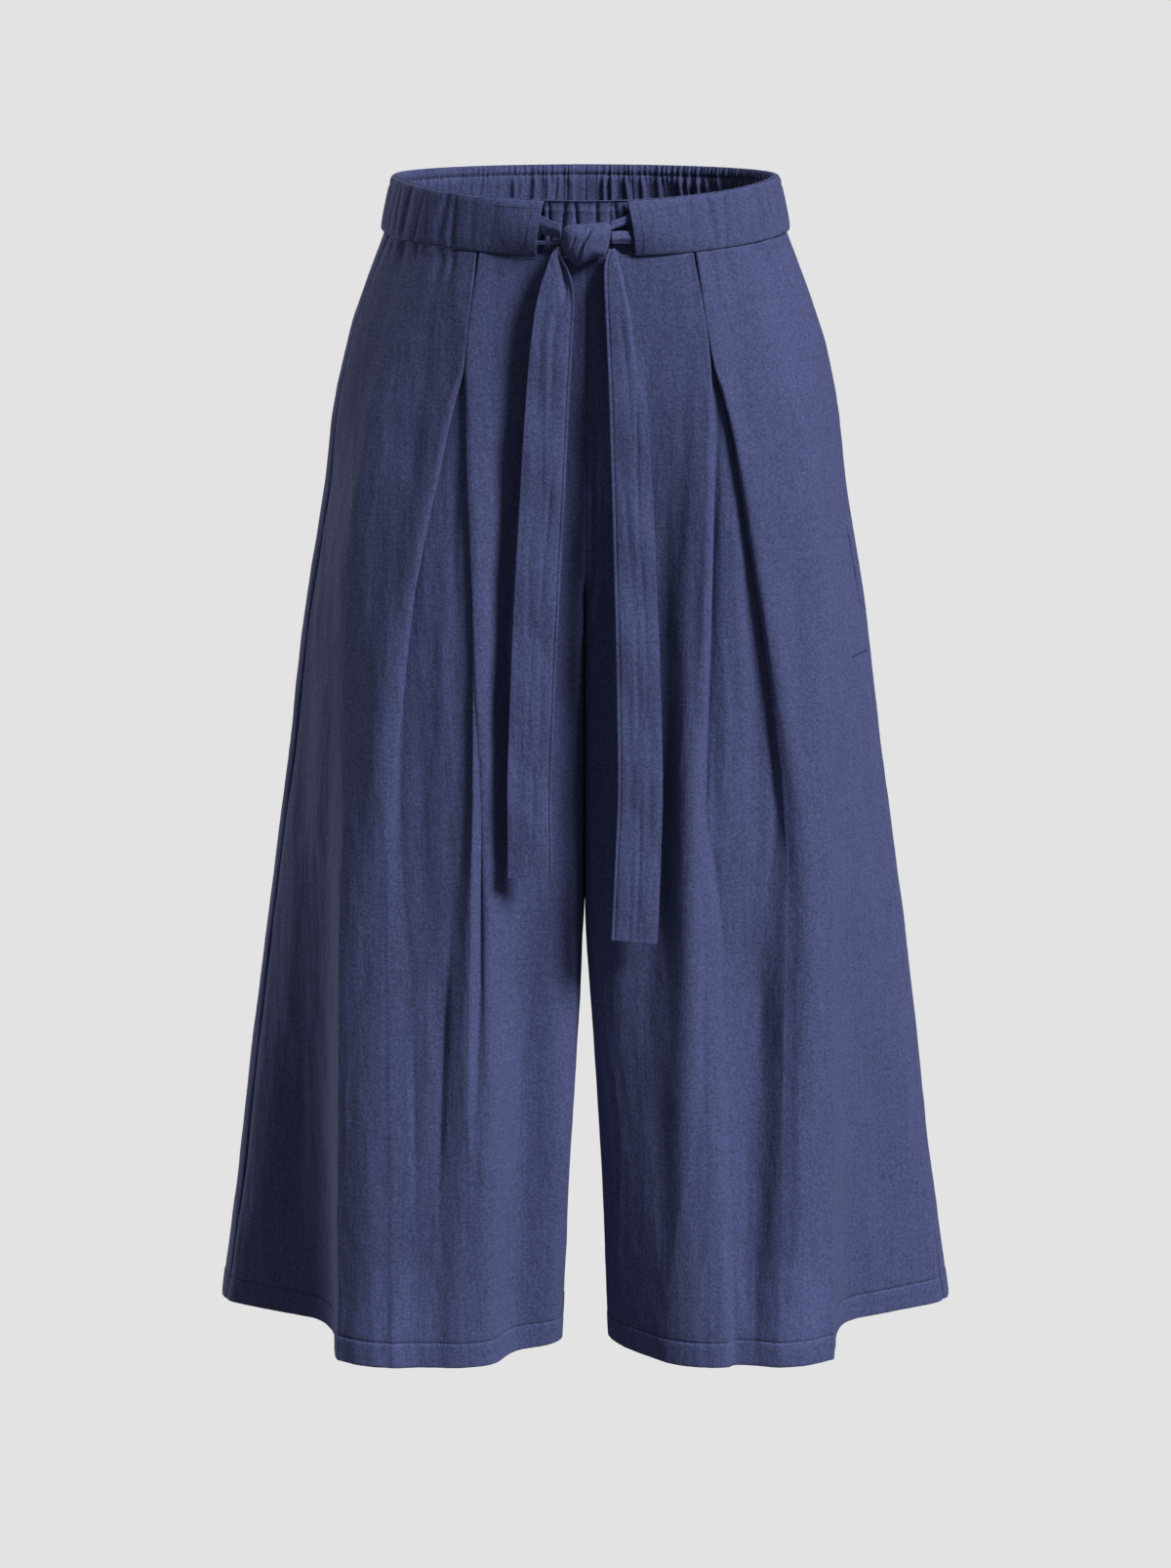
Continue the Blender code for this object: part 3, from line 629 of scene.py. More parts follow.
def walk(line, normals, distances):
    """The points of a line at these distances along it, with the cloth's normal there."""
    steps = np.linalg.norm(np.diff(line, axis=0), axis=1)
    place = np.concatenate([[0], np.cumsum(steps)])
    at = np.clip(distances, 0, place[-1])
    point = np.stack([np.interp(at, place, line[:, k]) for k in range(3)], axis=-1)
    normal = np.stack([np.interp(at, place, normals[:, k]) for k in range(3)], axis=-1)
    return point, normal / np.linalg.norm(normal, axis=-1, keepdims=True).clip(1e-9)


def stitch_row(line, normals, lift=CLOTH / 2):
    """Vertices and faces of a row of stitches that lies on the cloth along this line."""
    total = np.linalg.norm(np.diff(line, axis=0), axis=1).sum()
    starts = np.arange(FIRST_STITCH, total - STITCH, STITCH + STITCH_GAP)
    shares, rise, thick = np.array(STITCH_RINGS).T * ((1,), (THREAD,), (THREAD / 2,))
    turns = np.radians(np.arange(THREAD_SIDES) * 360 / THREAD_SIDES)
    middle, normal = walk(line, normals, starts[:, None] + shares[None, :] * STITCH)
    along = np.gradient(middle, axis=1)
    along /= np.linalg.norm(along, axis=-1, keepdims=True).clip(1e-9)
    side = np.cross(along, normal)
    middle = middle + normal * (lift + rise)[None, :, None]
    cos, sin = np.cos(turns)[None, None, :, None], np.sin(turns)[None, None, :, None]
    round_line = cos * side[:, :, None] + sin * normal[:, :, None]
    ring = middle[:, :, None] + thick[None, :, None, None] * round_line
    one = [face[::-1] for face in grid_faces(len(shares), THREAD_SIDES, closed=True)]
    one += [list(range(THREAD_SIDES)), list(range(len(shares) * THREAD_SIDES))[:-THREAD_SIDES - 1:-1]]
    vertices = ring.reshape(-1, 3)
    size = len(shares) * THREAD_SIDES
    faces = [[corner + base for corner in face] for base in range(0, len(vertices), size) for face in one]
    return vertices, faces


def stitches(name, rows, slot):
    """All these rows of stitches as one piece."""
    vertices, faces = [], []
    for row_vertices, row_faces in rows:
        shift = len(vertices)
        vertices += row_vertices.tolist()
        faces += [[corner + shift for corner in face] for face in row_faces]
    piece = mesh_object(name, vertices, faces)
    belongs(piece, slot)
    print(name, len(faces), "faces")


# %% [markdown]
# ## The four leg panels
# A panel is its plain form, pushed along its normal by the creases, the crumple, the gathers that run down
# from the band, and the small things that sewing does: an edge that turns into its seam, and a hem that is
# turned up and stands a little proud below its row of stitches. The turned-up layer is part of the same
# strip of cloth, so the grid simply carries on round the fold and up the inside.

# %% How sewing shapes the leg cloth
GATHER_GAIN = 1.3         # the gathers start this much deeper than in the band
GATHER_REACH = 0.0340     # they fade down the leg over about this length
GATHER_END = (0.090, 0.140)  # and are gone between these depths
GATHER_WIDEN = 28         # they get this much wider for each metre down
CRUMPLE_FULL = 0.0900     # the small creases reach full height here
WALL_STATIONS = (1.2, 2.4)  # the wall between the legs fades out between these stations
WALLS_PART = (0.52, 0.62)  # and between these depths
WALL_SHIFT = 0.0012       # the two walls lean over together by this much
TOP_DIP = 0.0004          # the top edge is pulled in under the band
EDGE_DIP = 0.0006         # an edge that is sewn dips this far
EDGE_DIP_WIDE = 0.0012
HEM_PROUD = 0.0004        # the doubled hem stands out
STITCH_DIP = 0.0007       # and its row of stitches pulls the cloth in
STITCH_DIP_WIDE = 0.0010
PASS_UNDER = 0.0006       # one allowance of a seam passes this far under the other piece
KEEP_CLEAR = 0.0012       # and the other one keeps this far back


def from_edge(form, last):
    """How far each point lies from the panel's first or last column, along the cloth."""
    steps = np.linalg.norm(np.diff(form, axis=1), axis=-1)
    place = np.concatenate([np.zeros((len(form), 1)), np.cumsum(steps, axis=1)], axis=1)
    return place[:, -1:] - place if last else place


def gathers_below(form, down):
    """How far the band's gathers, which get wider and shallower down the leg, sink its cloth."""
    degrees = np.degrees(np.arctan2(form[..., 0] / TOP_WIDE, -form[..., 1] / TOP_DEEP))
    below = np.maximum(0, down - PANEL_TOP)
    fading = np.exp(-((down - PANEL_TOP) / GATHER_REACH)) * (1 - ease(down, *GATHER_END))
    held = 0.35 + 0.65 * ease(below, 0, 0.008)
    return GATHER_GAIN * gathered(CASING_VALLEYS, degrees, 1.1 + GATHER_WIDEN * below) * fading * held


def leg_push(form, stations, down, creases, seed, mirror, front):
    """How far each point of a panel is pushed out from its plain form."""
    x = form[..., 0] * mirror
    push = creased(creases, stations, x, down) + crumpled(form, seed) * ease(down, PANEL_TOP, CRUMPLE_FULL)
    if front:  # where the legs touch, their walls lie calm and lean over together
        wall = (1 - ease(stations, *WALL_STATIONS)) * ease(down, CROTCH - 0.02, CROTCH)
        wall = wall * (1 - ease(down, *WALLS_PART))
        push = push * (1 - 0.9 * wall) + mirror * WALL_SHIFT * wall * ease(stations, 0, 0.8)
    push -= gathers_below(form, down)
    push -= TOP_DIP * bell(down - PANEL_TOP, STITCH_DIP_WIDE)
    for last in (False, True):
        push -= EDGE_DIP * bell(from_edge(form, last), EDGE_DIP_WIDE)
    hem = HEM - HEM_TURN
    push += HEM_PROUD * ease(down, hem, hem + 0.002) - STITCH_DIP * bell(down - hem, STITCH_DIP_WIDE)
    return push


def turned_in(edge, beyond, normal, passes):
    """The seam allowance of an edge: turned in, and passing under the next piece or keeping clear of it."""
    way = edge - beyond
    way = way / np.linalg.norm(way, axis=-1, keepdims=True).clip(1e-9)
    past = np.where(passes, PASS_UNDER, -KEEP_CLEAR)[:, None]
    return np.stack([edge - EDGE_DIP * normal, edge + past * way - ALLOWANCE * normal], axis=1)


# %% One leg panel
PanelCut = namedtuple("PanelCut", "corners_at stations creases flat area")
CUTS = {
    "front": PanelCut(front_corners, FRONT_STATIONS, FRONT_CREASES, (0.480, 0.850), 0.320),
    "back": PanelCut(back_corners, BACK_STATIONS, BACK_CREASES, (0.480, 0.850), 0.330),
}


def leg_panel(part, leg, seed):
    """One leg panel with its hem turned up, and the row of stitches that holds the hem."""
    cut = CUTS[part]
    front = part == "front"
    mirror = 1 if leg == "right" else -1
    downs = np.concatenate([DOWNS, TURNED_UP])
    inset = np.concatenate([np.zeros(len(DOWNS)), np.full(len(TURNED_UP), 2 * CLOTH)])
    form = panel_form(cut.corners_at, cut.stations, downs, leg)
    normal = outwards(cut.corners_at, cut.stations, downs, leg, form)
    push = leg_push(form, cut.stations[None, :], downs[:, None], cut.creases[leg], seed, mirror, front)
    grid = form + normal * (push - inset[:, None])[..., None]
    seam_passes = np.full(len(downs), front)
    rise_passes = np.where(downs < CROTCH, leg == "right", front)
    first, last = (rise_passes, seam_passes) if front else (seam_passes, rise_passes)
    before = turned_in(grid[:, 0], grid[:, 1], normal[:, 0], first)[:, ::-1]
    after = turned_in(grid[:, -1], grid[:, -2], normal[:, -1], last)
    piece = cloth_piece(f"{part}_{leg}", np.concatenate([before, grid, after], axis=1), "leg_cloth")
    row = int(np.argmin(np.abs(DOWNS - (HEM - HEM_TURN))))
    return stitch_row(grid[row], normal[row]), grid, normal


panels = {}
for number, name in enumerate(("front_left", "front_right", "back_left", "back_right"), start=1):
    panels[name] = leg_panel(*name.split("_"), seed=float(number))
leg_rows = [row for row, grid, normal in panels.values()]

# %% Bartack and hem stitches
BARTACK_DOWN = 0.344      # a short bar of stitches beside the right side seam
BARTACK_ENDS = (0.1925, 0.2059)
BARTACK_STEPS = (-0.0004, 0.0, 0.0004)  # its three rows
BARTACK_PROUD = 0.0001
SIDE_STATION = 16         # the side of a front starts here


def bartack(grid, normal):
    """A short dense bar of stitches on the side of a front."""
    row = int(np.argmin(np.abs(DOWNS - BARTACK_DOWN)))
    start, end = BARTACK_ENDS
    near = (grid[row, :, 0] > start - 0.004) & (grid[row, :, 0] < end + 0.004)
    on_side = (FRONT_STATIONS > SIDE_STATION) & near
    places = np.linspace(start, end, 12)
    order = np.argsort(grid[row, on_side, 0])
    across = grid[row, on_side][order]
    line = np.stack([places] + [np.interp(places, across[:, 0], across[:, k]) for k in (1, 2)], axis=-1)
    facing = np.broadcast_to(normal[row, on_side].mean(axis=0), line.shape)
    lift = CLOTH / 2 + BARTACK_PROUD
    return [stitch_row(line + (0, 0, step), facing, lift) for step in BARTACK_STEPS]


_, right_grid, right_normal = panels["front_right"]
stitches("leg_stitches", leg_rows + bartack(right_grid, right_normal), "leg_cloth")

# %% [markdown]
# ## The waistband
# The casing is a strip folded over the elastic. Seen in section it rises from the seam, puffs out, rolls
# over the top edge and meets the inner layer. In front it leaves the middle open, and its two hemmed ends
# stand out where the tie comes through. The inner layer shows in that opening and inside the back, with
# fine gathers above its row of stitches and larger ones below.

# %% Sections of the waistband
Profile = namedtuple("Profile", "share out")
CASING_PROFILE = (
    Profile(0.006, -0.0004), Profile(0.000, 0.0000), Profile(0.006, 0.0006), Profile(0.020, 0.0010),
    Profile(0.060, 0.0013), Profile(0.120, 0.0014), Profile(0.170, 0.0014), Profile(0.220, 0.0014),
    Profile(0.330, 0.0014), Profile(0.450, 0.0014), Profile(0.570, 0.0013), Profile(0.690, 0.0012),
    Profile(0.800, 0.0010), Profile(0.900, 0.0007), Profile(0.960, 0.0004), Profile(0.985, 0.0001),
    Profile(1.000, -0.0005),
)
INNER_PROFILE = (
    Profile(-0.012, 0.0011), Profile(-0.014, 0.0005), Profile(0.004, -0.0001), Profile(0.060, -0.0005),
    Profile(0.120, -0.0005), Profile(0.170, -0.0001), Profile(0.220, -0.0007), Profile(0.320, -0.0010),
    Profile(0.450, -0.0010), Profile(0.600, -0.0010), Profile(0.750, -0.0010), Profile(0.880, -0.0008),
    Profile(0.960, -0.0004), Profile(1.000, 0.0000),
)
ROLLED = 2                # the first rows of both sections roll over the top edge
STITCH_SHARE = 0.17       # the row of stitches under the top edge, as a share of the band's height
BESIDE_OPENING = 0.13     # the short row beside the front opening


def band_points(degrees, share, out):
    """Points of the waistband: angle from the front, share of the way down, and how far they stand out."""
    wide = TOP_WIDE + (LEVELS[0].side - TOP_WIDE) * share + out
    deep = TOP_DEEP + (LEVELS[0].front - TOP_DEEP) * share + out
    turn = np.radians(degrees)
    x, y = wide * np.sin(turn), -deep * np.cos(turn)
    return np.stack([x, y, -BAND_HEIGHT * share - dip(y, deep)], axis=-1)


def profile_rows(profile, between_rows):
    """Shares and outs of a profile, with rows added between its own."""
    places = np.linspace(0, len(profile) - 1, (len(profile) - 1) * between_rows + 1)
    columns = np.array(profile, float)
    return [np.interp(places, np.arange(len(profile)), columns[:, k])[:, None] for k in range(2)]


def middle_of(profile, place):
    """How far a section stands out at this share of the way down."""
    rows = np.array(profile[ROLLED:], float)
    return np.interp(place, rows[:, 0], rows[:, 1])


print("sections of", len(CASING_PROFILE), "and", len(INNER_PROFILE), "rows")

# %% Casing
CASING_STEP = 0.45        # degrees between the columns of the casing
LIFT_REACH = 2.4          # the lift at the opening ends at this many times the opening's angle
BEHIND_SIDE = (66, 80)    # degrees between which the row of stitches starts to pinch the casing
PUFF = 0.0004             # the casing puffs out between its gathers
PINCH = 0.0006


def casing_surface(degrees, share, out):
    """The casing with its gathers, and lifted at the front opening."""
    around = (degrees + 180) % 360 - 180
    near = 1 - ease(np.abs(around), OPENING_ANGLE, LIFT_REACH * OPENING_ANGLE)
    degrees = degrees - np.sign(around) * OPENING_SLANT * near * (1 - share)
    lift = CASING_LIFT * near * np.sin(np.pi * (0.08 + 0.92 * share))
    pinch = ease(np.abs(around), *BEHIND_SIDE) * bell(share - STITCH_SHARE, 0.03)
    sunk = gathered(CASING_VALLEYS, degrees, 1 + 0.25 * np.sin(np.pi * share), 2.0 * (share - 0.5))
    ends = (0.35 + 0.65 * ease(share, 0.0, 0.10)) * (1 - 0.45 * pinch) * (1 - 0.65 * ease(share, 0.80, 1.0))
    return band_points(degrees, share, out + lift - sunk * ends + PUFF * ends - PINCH * pinch)


def casing(name, start, end):
    """One piece of the casing between two angles in degrees."""
    degrees = np.linspace(start, end, int(round((end - start) / CASING_STEP)) + 1)[None, :]
    share, out = profile_rows(CASING_PROFILE, 2)
    piece = cloth_piece(name, casing_surface(degrees, share, out), "band_cloth")


gap = np.degrees(SEAM / 2 / TOP_DEEP)
casing("waistband_front_right", OPENING_ANGLE, SIDE_ANGLE - gap)
casing("waistband_front_left", -SIDE_ANGLE + gap, -OPENING_ANGLE)
casing("waistband_back", SIDE_ANGLE + gap, 360 - SIDE_ANGLE - gap)

# %% Inner layer
PATCH = 4.0               # degrees from the middle of the back to the edge of its flat patch
FRONT_STARTS = (158, 164)  # degrees from the back between which the layer's front part starts
CASING_ENDS = (96, 108)   # and from here to the back nothing lies close outside the layer


def inner_surface(degrees, share, out):
    """The inner layer with its two sizes of gathers, flat at the small patch in the middle of the back."""
    around = degrees % 360 - 180
    patch = 1 - np.exp(-((around / PATCH) ** 6))
    front = ease(np.abs(around), *FRONT_STARTS)
    begun = (1 - front) * ease(share, 0.10, 0.34) + front * (0.3 + 0.7 * ease(share, 0.0, 0.12))
    large = gathered(INNER_VALLEYS, degrees, 0.8 + 0.5 * share, 1.6 * (share - 0.5)) * begun
    fine = gathered(FINE_VALLEYS, degrees) * (1 - 0.65 * ease(share, 0.18, 0.40))
    sunk = (large + fine) * patch * (1 - ease(share, 0.96, 1.0))
    clear = 0.0010 * (1 - ease(np.abs(around), *CASING_ENDS)) * ease(share, 0.0, 0.10)
    seam = 0.0007 * bell(around, 0.25)
    row = 0.0006 * bell(share - STITCH_SHARE, 0.025) * (1 - front)
    return band_points(degrees, share, -BAND_INSIDE + out - sunk - clear + seam + row)


share, out = profile_rows(INNER_PROFILE, 2)
ring = spread(0.0, (20, 50), (90, 110), (176, 330), (184, 56), (270, 330), (340, 110), (359.6, 49))[None, :]
inner = cloth_piece("waistband_inner", inner_surface(ring, share, out), "band_cloth", closed=True)

# %% Stitches of the waistband
END_HEM = 2.7             # degrees from the end of the casing to the stitches of its hem
END_OUT = 0.0014          # they lie on the casing where it stands out most


def band_stitches(surface, degrees, share, out, outside):
    """A row of stitches on a band surface, along an angle or down a share."""
    step = 0.2
    degrees, share = np.broadcast_arrays(degrees, share)
    line = surface(degrees, share, out).reshape(-1, 3)
    turned = surface(degrees + step, share, out).reshape(-1, 3) - line
    lower = surface(degrees, share + 0.01, out).reshape(-1, 3) - line
    normal = np.cross(lower, turned) * outside
    return stitch_row(line, normal / np.linalg.norm(normal, axis=-1, keepdims=True))


def stitch_ring(surface, profile, place, start, end, count, outside):
    """A row of stitches round the band, at this share of the way down."""
    degrees = np.linspace(start, end, count)[None, :]
    return band_stitches(surface, degrees, place, middle_of(profile, place), outside)


down_band = np.linspace(0.03, 0.96, 40)[:, None]
band_rows = []
for side in (-1, 1):
    degrees = side * np.full(down_band.shape, OPENING_ANGLE + END_HEM)
    band_rows.append(band_stitches(casing_surface, degrees, down_band, END_OUT, 1))
band_rows += [
    stitch_ring(casing_surface, CASING_PROFILE, BESIDE_OPENING, -27.5, -14.2, 60, 1),
    stitch_ring(inner_surface, INNER_PROFILE, STITCH_SHARE, SIDE_ANGLE, 360 - SIDE_ANGLE, 1200, -1),
    stitch_ring(casing_surface, CASING_PROFILE, STITCH_SHARE, 80, 280, 1200, 1),
]
stitches("band_stitches", band_rows, "band_cloth")

# %% [markdown]
# ## The bunched stretches of the tie
# The tie is one strip, folded double and stitched along one edge. It comes out of the casing bunched, is
# tied once, and hangs in two flat ends. Between the casing and the knot the tape is squeezed, so each
# stretch is a soft tube with grooves along it, lofted through flattened rings whose middle and size a table
# gives.

# %% Strands
StrandRow = namedtuple("StrandRow", "down x forward tall thick")
STRANDS = {
    "tie_strand_left_upper": (
        StrandRow(0.0262, -0.0430, 0.0957, 0.0150, 0.0020),
        StrandRow(0.0274, -0.0340, 0.0978, 0.0140, 0.0026),
        StrandRow(0.0300, -0.0250, 0.1007, 0.0115, 0.0040),
        StrandRow(0.0326, -0.0176, 0.1060, 0.0095, 0.0052),
    ),
    "tie_strand_left_lower": (
        StrandRow(0.0402, -0.0420, 0.0966, 0.0030, 0.0022),
        StrandRow(0.0405, -0.0310, 0.0989, 0.0032, 0.0028),
        StrandRow(0.0396, -0.0171, 0.1050, 0.0034, 0.0030),
    ),
    "tie_strand_right_upper": (
        StrandRow(0.0206, 0.0410, 0.0957, 0.0080, 0.0020),
        StrandRow(0.0230, 0.0330, 0.0976, 0.0072, 0.0026),
        StrandRow(0.0258, 0.0250, 0.1004, 0.0062, 0.0036),
        StrandRow(0.0280, 0.0180, 0.1060, 0.0058, 0.0044),
    ),
    "tie_strand_right_lower": (
        StrandRow(0.0362, 0.0430, 0.0964, 0.0084, 0.0020),
        StrandRow(0.0366, 0.0330, 0.0993, 0.0094, 0.0040),
        StrandRow(0.0364, 0.0250, 0.1016, 0.0092, 0.0060),
        StrandRow(0.0362, 0.0184, 0.1060, 0.0088, 0.0070),
    ),
}


def tube(name, rings, slot):
    """A closed soft tube through rings of points, with its ends drawn in."""
    count, sides = rings.shape[:2]
    faces = grid_faces(count, sides, closed=True)
    faces.append(list(range(sides - 1, -1, -1)))
    faces.append(list(range((count - 1) * sides, count * sides)))
    piece = mesh_object(name + "_cloth", rings.reshape(-1, 3).tolist(), faces)
    belongs(piece, slot, name)
    return piece


def strand(name, rows, seed):
    """A bunched stretch of the tie, with soft grooves along it."""
    rows = sorted(rows, key=lambda row: row.x)
    places = np.linspace(rows[0].x, rows[-1].x, 44)
    down, x, forward, tall, thick = (column[:, None] for column in between(rows, places, "x"))
    turns = np.radians(np.arange(0, 360, 7.5))[None, :]
    along = (places - places[0])[:, None]
    groove = 1 + 0.20 * np.cos(2 * turns + seed + 30 * along) + 0.12 * np.cos(5 * turns - seed - 40 * along)
    y = -forward - thick / 2 * np.cos(turns) * groove
    z = -down + tall / 2 * np.sin(turns)
    return tube(name, np.stack(np.broadcast_arrays(x, y, z), axis=-1), "tie_cloth")


strands = [strand(name, rows, 1.7 * number) for number, (name, rows) in enumerate(STRANDS.items())]
print(len(strands), "strands")

# %% [markdown]
# ## The knot
# The knot is one wrap of the same tape: a rounded lump with a notch at its top and a diagonal fold where
# the wrap comes over itself and down. It could be sculpted, but rings of one outline that grow from the
# back to the rim and shrink again over the face need only a short list of corners, and the folds are then a
# few small steps and grooves on that face.

# %% Knot
KnotCorner = namedtuple("KnotCorner", "x down")
KNOT_OUTLINE = (
    KnotCorner(-0.0150, 0.0272), KnotCorner(-0.0010, 0.0266), KnotCorner(0.0172, 0.0250),
    KnotCorner(0.0186, 0.0300), KnotCorner(0.0168, 0.0400), KnotCorner(0.0148, 0.0486),
    KnotCorner(0.0040, 0.0512), KnotCorner(-0.0042, 0.0562), KnotCorner(-0.0090, 0.0546),
    KnotCorner(-0.0160, 0.0470), KnotCorner(-0.0176, 0.0360),
)
KNOT_FOLD = (
    KnotCorner(0.0056, 0.0295), KnotCorner(0.0042, 0.0318), KnotCorner(-0.0007, 0.0395),
    KnotCorner(-0.0024, 0.0459), KnotCorner(-0.0046, 0.0562),
)
KNOT_BACK, KNOT_FRONT = 0.1012, 0.1180
KNOT_RIM = 0.35           # the rim's place between the knot's back and front
KNOT_BACK_RINGS = ((0.4, 0.0), (0.9, 0.0006), (0.985, 0.0022))  # share of the outline, and how far forward
NOTCH_X = -0.0012


def knot_outline(steps):
    """The outline as a closed quadratic B-spline through its corners."""
    corners = np.array(KNOT_OUTLINE)
    before, after = (corners + np.roll(corners, 1, 0)) / 2, (corners + np.roll(corners, -1, 0)) / 2
    t = np.linspace(0, 1, steps, endpoint=False)[None, :, None]
    curve = (1 - t) ** 2 * before[:, None] + 2 * t * (1 - t) * corners[:, None] + t**2 * after[:, None]
    return curve.reshape(-1, 2)


def knot_relief(x, down):
    """How far the face of the knot stands out: the diagonal fold, a groove on each lobe and the notch."""
    fold_x = np.interp(down, *zip(*[(corner.down, corner.x) for corner in KNOT_FOLD]))
    away = x - fold_x
    begun = ease(down, 0.0285, 0.0330)
    lobe = 0.0019 * ease(away, -0.0005, 0.0007) * np.exp(-np.maximum(away, 0) / 0.010)
    under = -0.0013 * bell(away + 0.0016, 0.0013)
    left_groove = -0.0008 * bell(x + 0.0080 + 0.3 * (down - 0.036), 0.0012) * ease(down, 0.031, 0.036)
    right_groove = -0.0007 * bell(x - 0.0098 + 0.5 * (down - 0.036), 0.0013) * ease(down, 0.029, 0.034)
    notch = -0.0018 * bell(x - NOTCH_X, 0.0016) * (1 - ease(down, 0.028, 0.034))
    return (lobe + under) * begun + left_groove + right_groove + notch


def knot():
    """The knot: rings of its outline from the back, round its rim and over its face to the middle."""
    outline = knot_outline(12)
    middle = outline.mean(axis=0)
    rim = KNOT_BACK + KNOT_RIM * (KNOT_FRONT - KNOT_BACK)
    shares = np.sin(np.radians(np.linspace(88, 1, 76)))
    bulge = (1 - shares**3.0) ** 0.6
    backs = [(share, KNOT_BACK + forward) for share, forward in KNOT_BACK_RINGS]
    rings = []
    for share, forward in backs + list(zip(shares, rim + (KNOT_FRONT - rim) * bulge)):
        x, down = (middle + (outline - middle) * share).T
        facing = ease(forward, rim, KNOT_FRONT)
        rings.append(np.stack([x, -(forward + knot_relief(x, down) * facing), -down], axis=-1))
    return tube("tie_knot", np.array(rings), "tie_cloth")


knot_piece = knot()
print("knot", len(knot_piece.data.polygons), "faces")

# %% [markdown]
# ## The hanging ends
# An end is a tape whose middle line and width come from a table. Near the knot the tape is still folded on
# itself, so part of its width lies further back. Soft creases run along and across it, each with a line
# given in half widths from the tape's middle.

# %% Tie ends
TapeRow = namedtuple("TapeRow", "down x half forward")
TIE_END_LEFT = (
    TapeRow(0.0425, -0.0182, 0.0016, 0.1075),
    TapeRow(0.0490, -0.0210, 0.0036, 0.1095),
    TapeRow(0.0595, -0.0200, 0.0081, 0.1110),
    TapeRow(0.0725, -0.0204, 0.0119, 0.1122),
    TapeRow(0.0900, -0.0221, 0.0140, 0.1130),
    TapeRow(0.1400, -0.0262, 0.0152, 0.1147),
    TapeRow(0.2100, -0.0302, 0.0158, 0.1170),
    TapeRow(0.2900, -0.0346, 0.0160, 0.1202),
    TapeRow(0.3700, -0.0382, 0.0159, 0.1235),
    TapeRow(0.4300, -0.0402, 0.0158, 0.1257),
    TapeRow(0.4920, -0.0398, 0.0158, 0.1272),
)
TIE_END_RIGHT = (
    TapeRow(0.0440, 0.0186, 0.0022, 0.1080),
    TapeRow(0.0560, 0.0205, 0.0072, 0.1108),
    TapeRow(0.0700, 0.0226, 0.0093, 0.1122),
    TapeRow(0.0890, 0.0253, 0.0112, 0.1130),
    TapeRow(0.1300, 0.0290, 0.0130, 0.1147),
    TapeRow(0.1950, 0.0322, 0.0140, 0.1172),
    TapeRow(0.2700, 0.0352, 0.0148, 0.1206),
    TapeRow(0.3500, 0.0378, 0.0155, 0.1240),
    TapeRow(0.4300, 0.0392, 0.0160, 0.1270),
    TapeRow(0.4900, 0.0372, 0.0164, 0.1286),
    TapeRow(0.5402, 0.0352, 0.0166, 0.1297),
)
TAPE = 0.0015             # two layers of the tie, pressed
TAPE_STITCH = 0.0022      # the row of stitches lies this far from the tape's edge
TapeCrease = namedtuple("TapeCrease", "top across_top bottom across_bottom width depth")
TAPE_CREASES = {
    "tie_end_left": (
        TapeCrease(0.060, 0.00, 0.190, 0.22, 0.16, 0.0010),
        TapeCrease(0.070, -0.62, 0.230, -0.20, 0.22, 0.0009),
        TapeCrease(0.120, -0.30, 0.250, 0.10, 0.10, 0.0006),
        TapeCrease(0.180, 0.42, 0.330, 0.12, 0.08, 0.0007),
        TapeCrease(0.220, -0.50, 0.360, -0.22, 0.12, 0.0006),
        TapeCrease(0.290, 0.30, 0.430, 0.44, 0.14, 0.0006),
        TapeCrease(0.300, -0.08, 0.420, -0.16, 0.08, 0.0005),
        TapeCrease(0.380, -0.46, 0.500, -0.60, 0.22, 0.0006),
        TapeCrease(0.400, 0.20, 0.492, 0.06, 0.10, 0.0004),
    ),
    "tie_end_right": (
        TapeCrease(0.080, -0.10, 0.180, 0.10, 0.16, 0.0007),
        TapeCrease(0.130, 0.48, 0.270, 0.16, 0.10, 0.0007),
        TapeCrease(0.190, -0.42, 0.300, -0.10, 0.16, 0.0006),
        TapeCrease(0.250, 0.30, 0.360, 0.42, 0.10, 0.0006),
        TapeCrease(0.280, 0.00, 0.430, -0.12, 0.12, 0.0006),
        TapeCrease(0.340, -0.50, 0.470, -0.34, 0.14, 0.0006),
        TapeCrease(0.360, 0.52, 0.520, 0.34, 0.16, 0.0006),
        TapeCrease(0.420, 0.02, 0.560, 0.10, 0.09, 0.0008),
        TapeCrease(0.450, -0.30, 0.580, -0.24, 0.12, 0.0006),
    ),
}


def tape_creased(name, across, down):
    """How far the soft creases of a tie end sink its cloth."""
    sunk = 0.0
    for crease in TAPE_CREASES[name]:
        along = (down - crease.top) / (crease.bottom - crease.top)
        middle = crease.across_top + (crease.across_bottom - crease.across_top) * along
        faded = ease(along, 0, 0.3) * (1 - ease(along, 0.6, 1))
        sunk = sunk + crease.depth * bell(across - middle, crease.width) * faded
    return sunk


def left_fold(across, down):
    """The left end: a pocket behind its front edge just under the knot."""
    pocket = 0.0048 * ease(down, 0.045, 0.058) * (1 - ease(down, 0.064, 0.088))
    return pocket * bell(across - 0.52, 0.30)


def right_fold(across, down):
    """The right end: its outer part lies behind a folded edge at first."""
    return 0.0034 * (1 - ease(down, 0.075, 0.150)) * ease(across, 0.34, 0.52)


TAPE_FREE = (0.07, 0.13)  # the tape waves and cups freely from here down
END_SLANT = 0.06          # length at the foot of an end over which its cut slants
MIDDLE_COLUMN = 22        # the column of points down the middle of the tape
STITCH_FROM, STITCH_TO = 12, -3  # the rows of points that the stitches run between


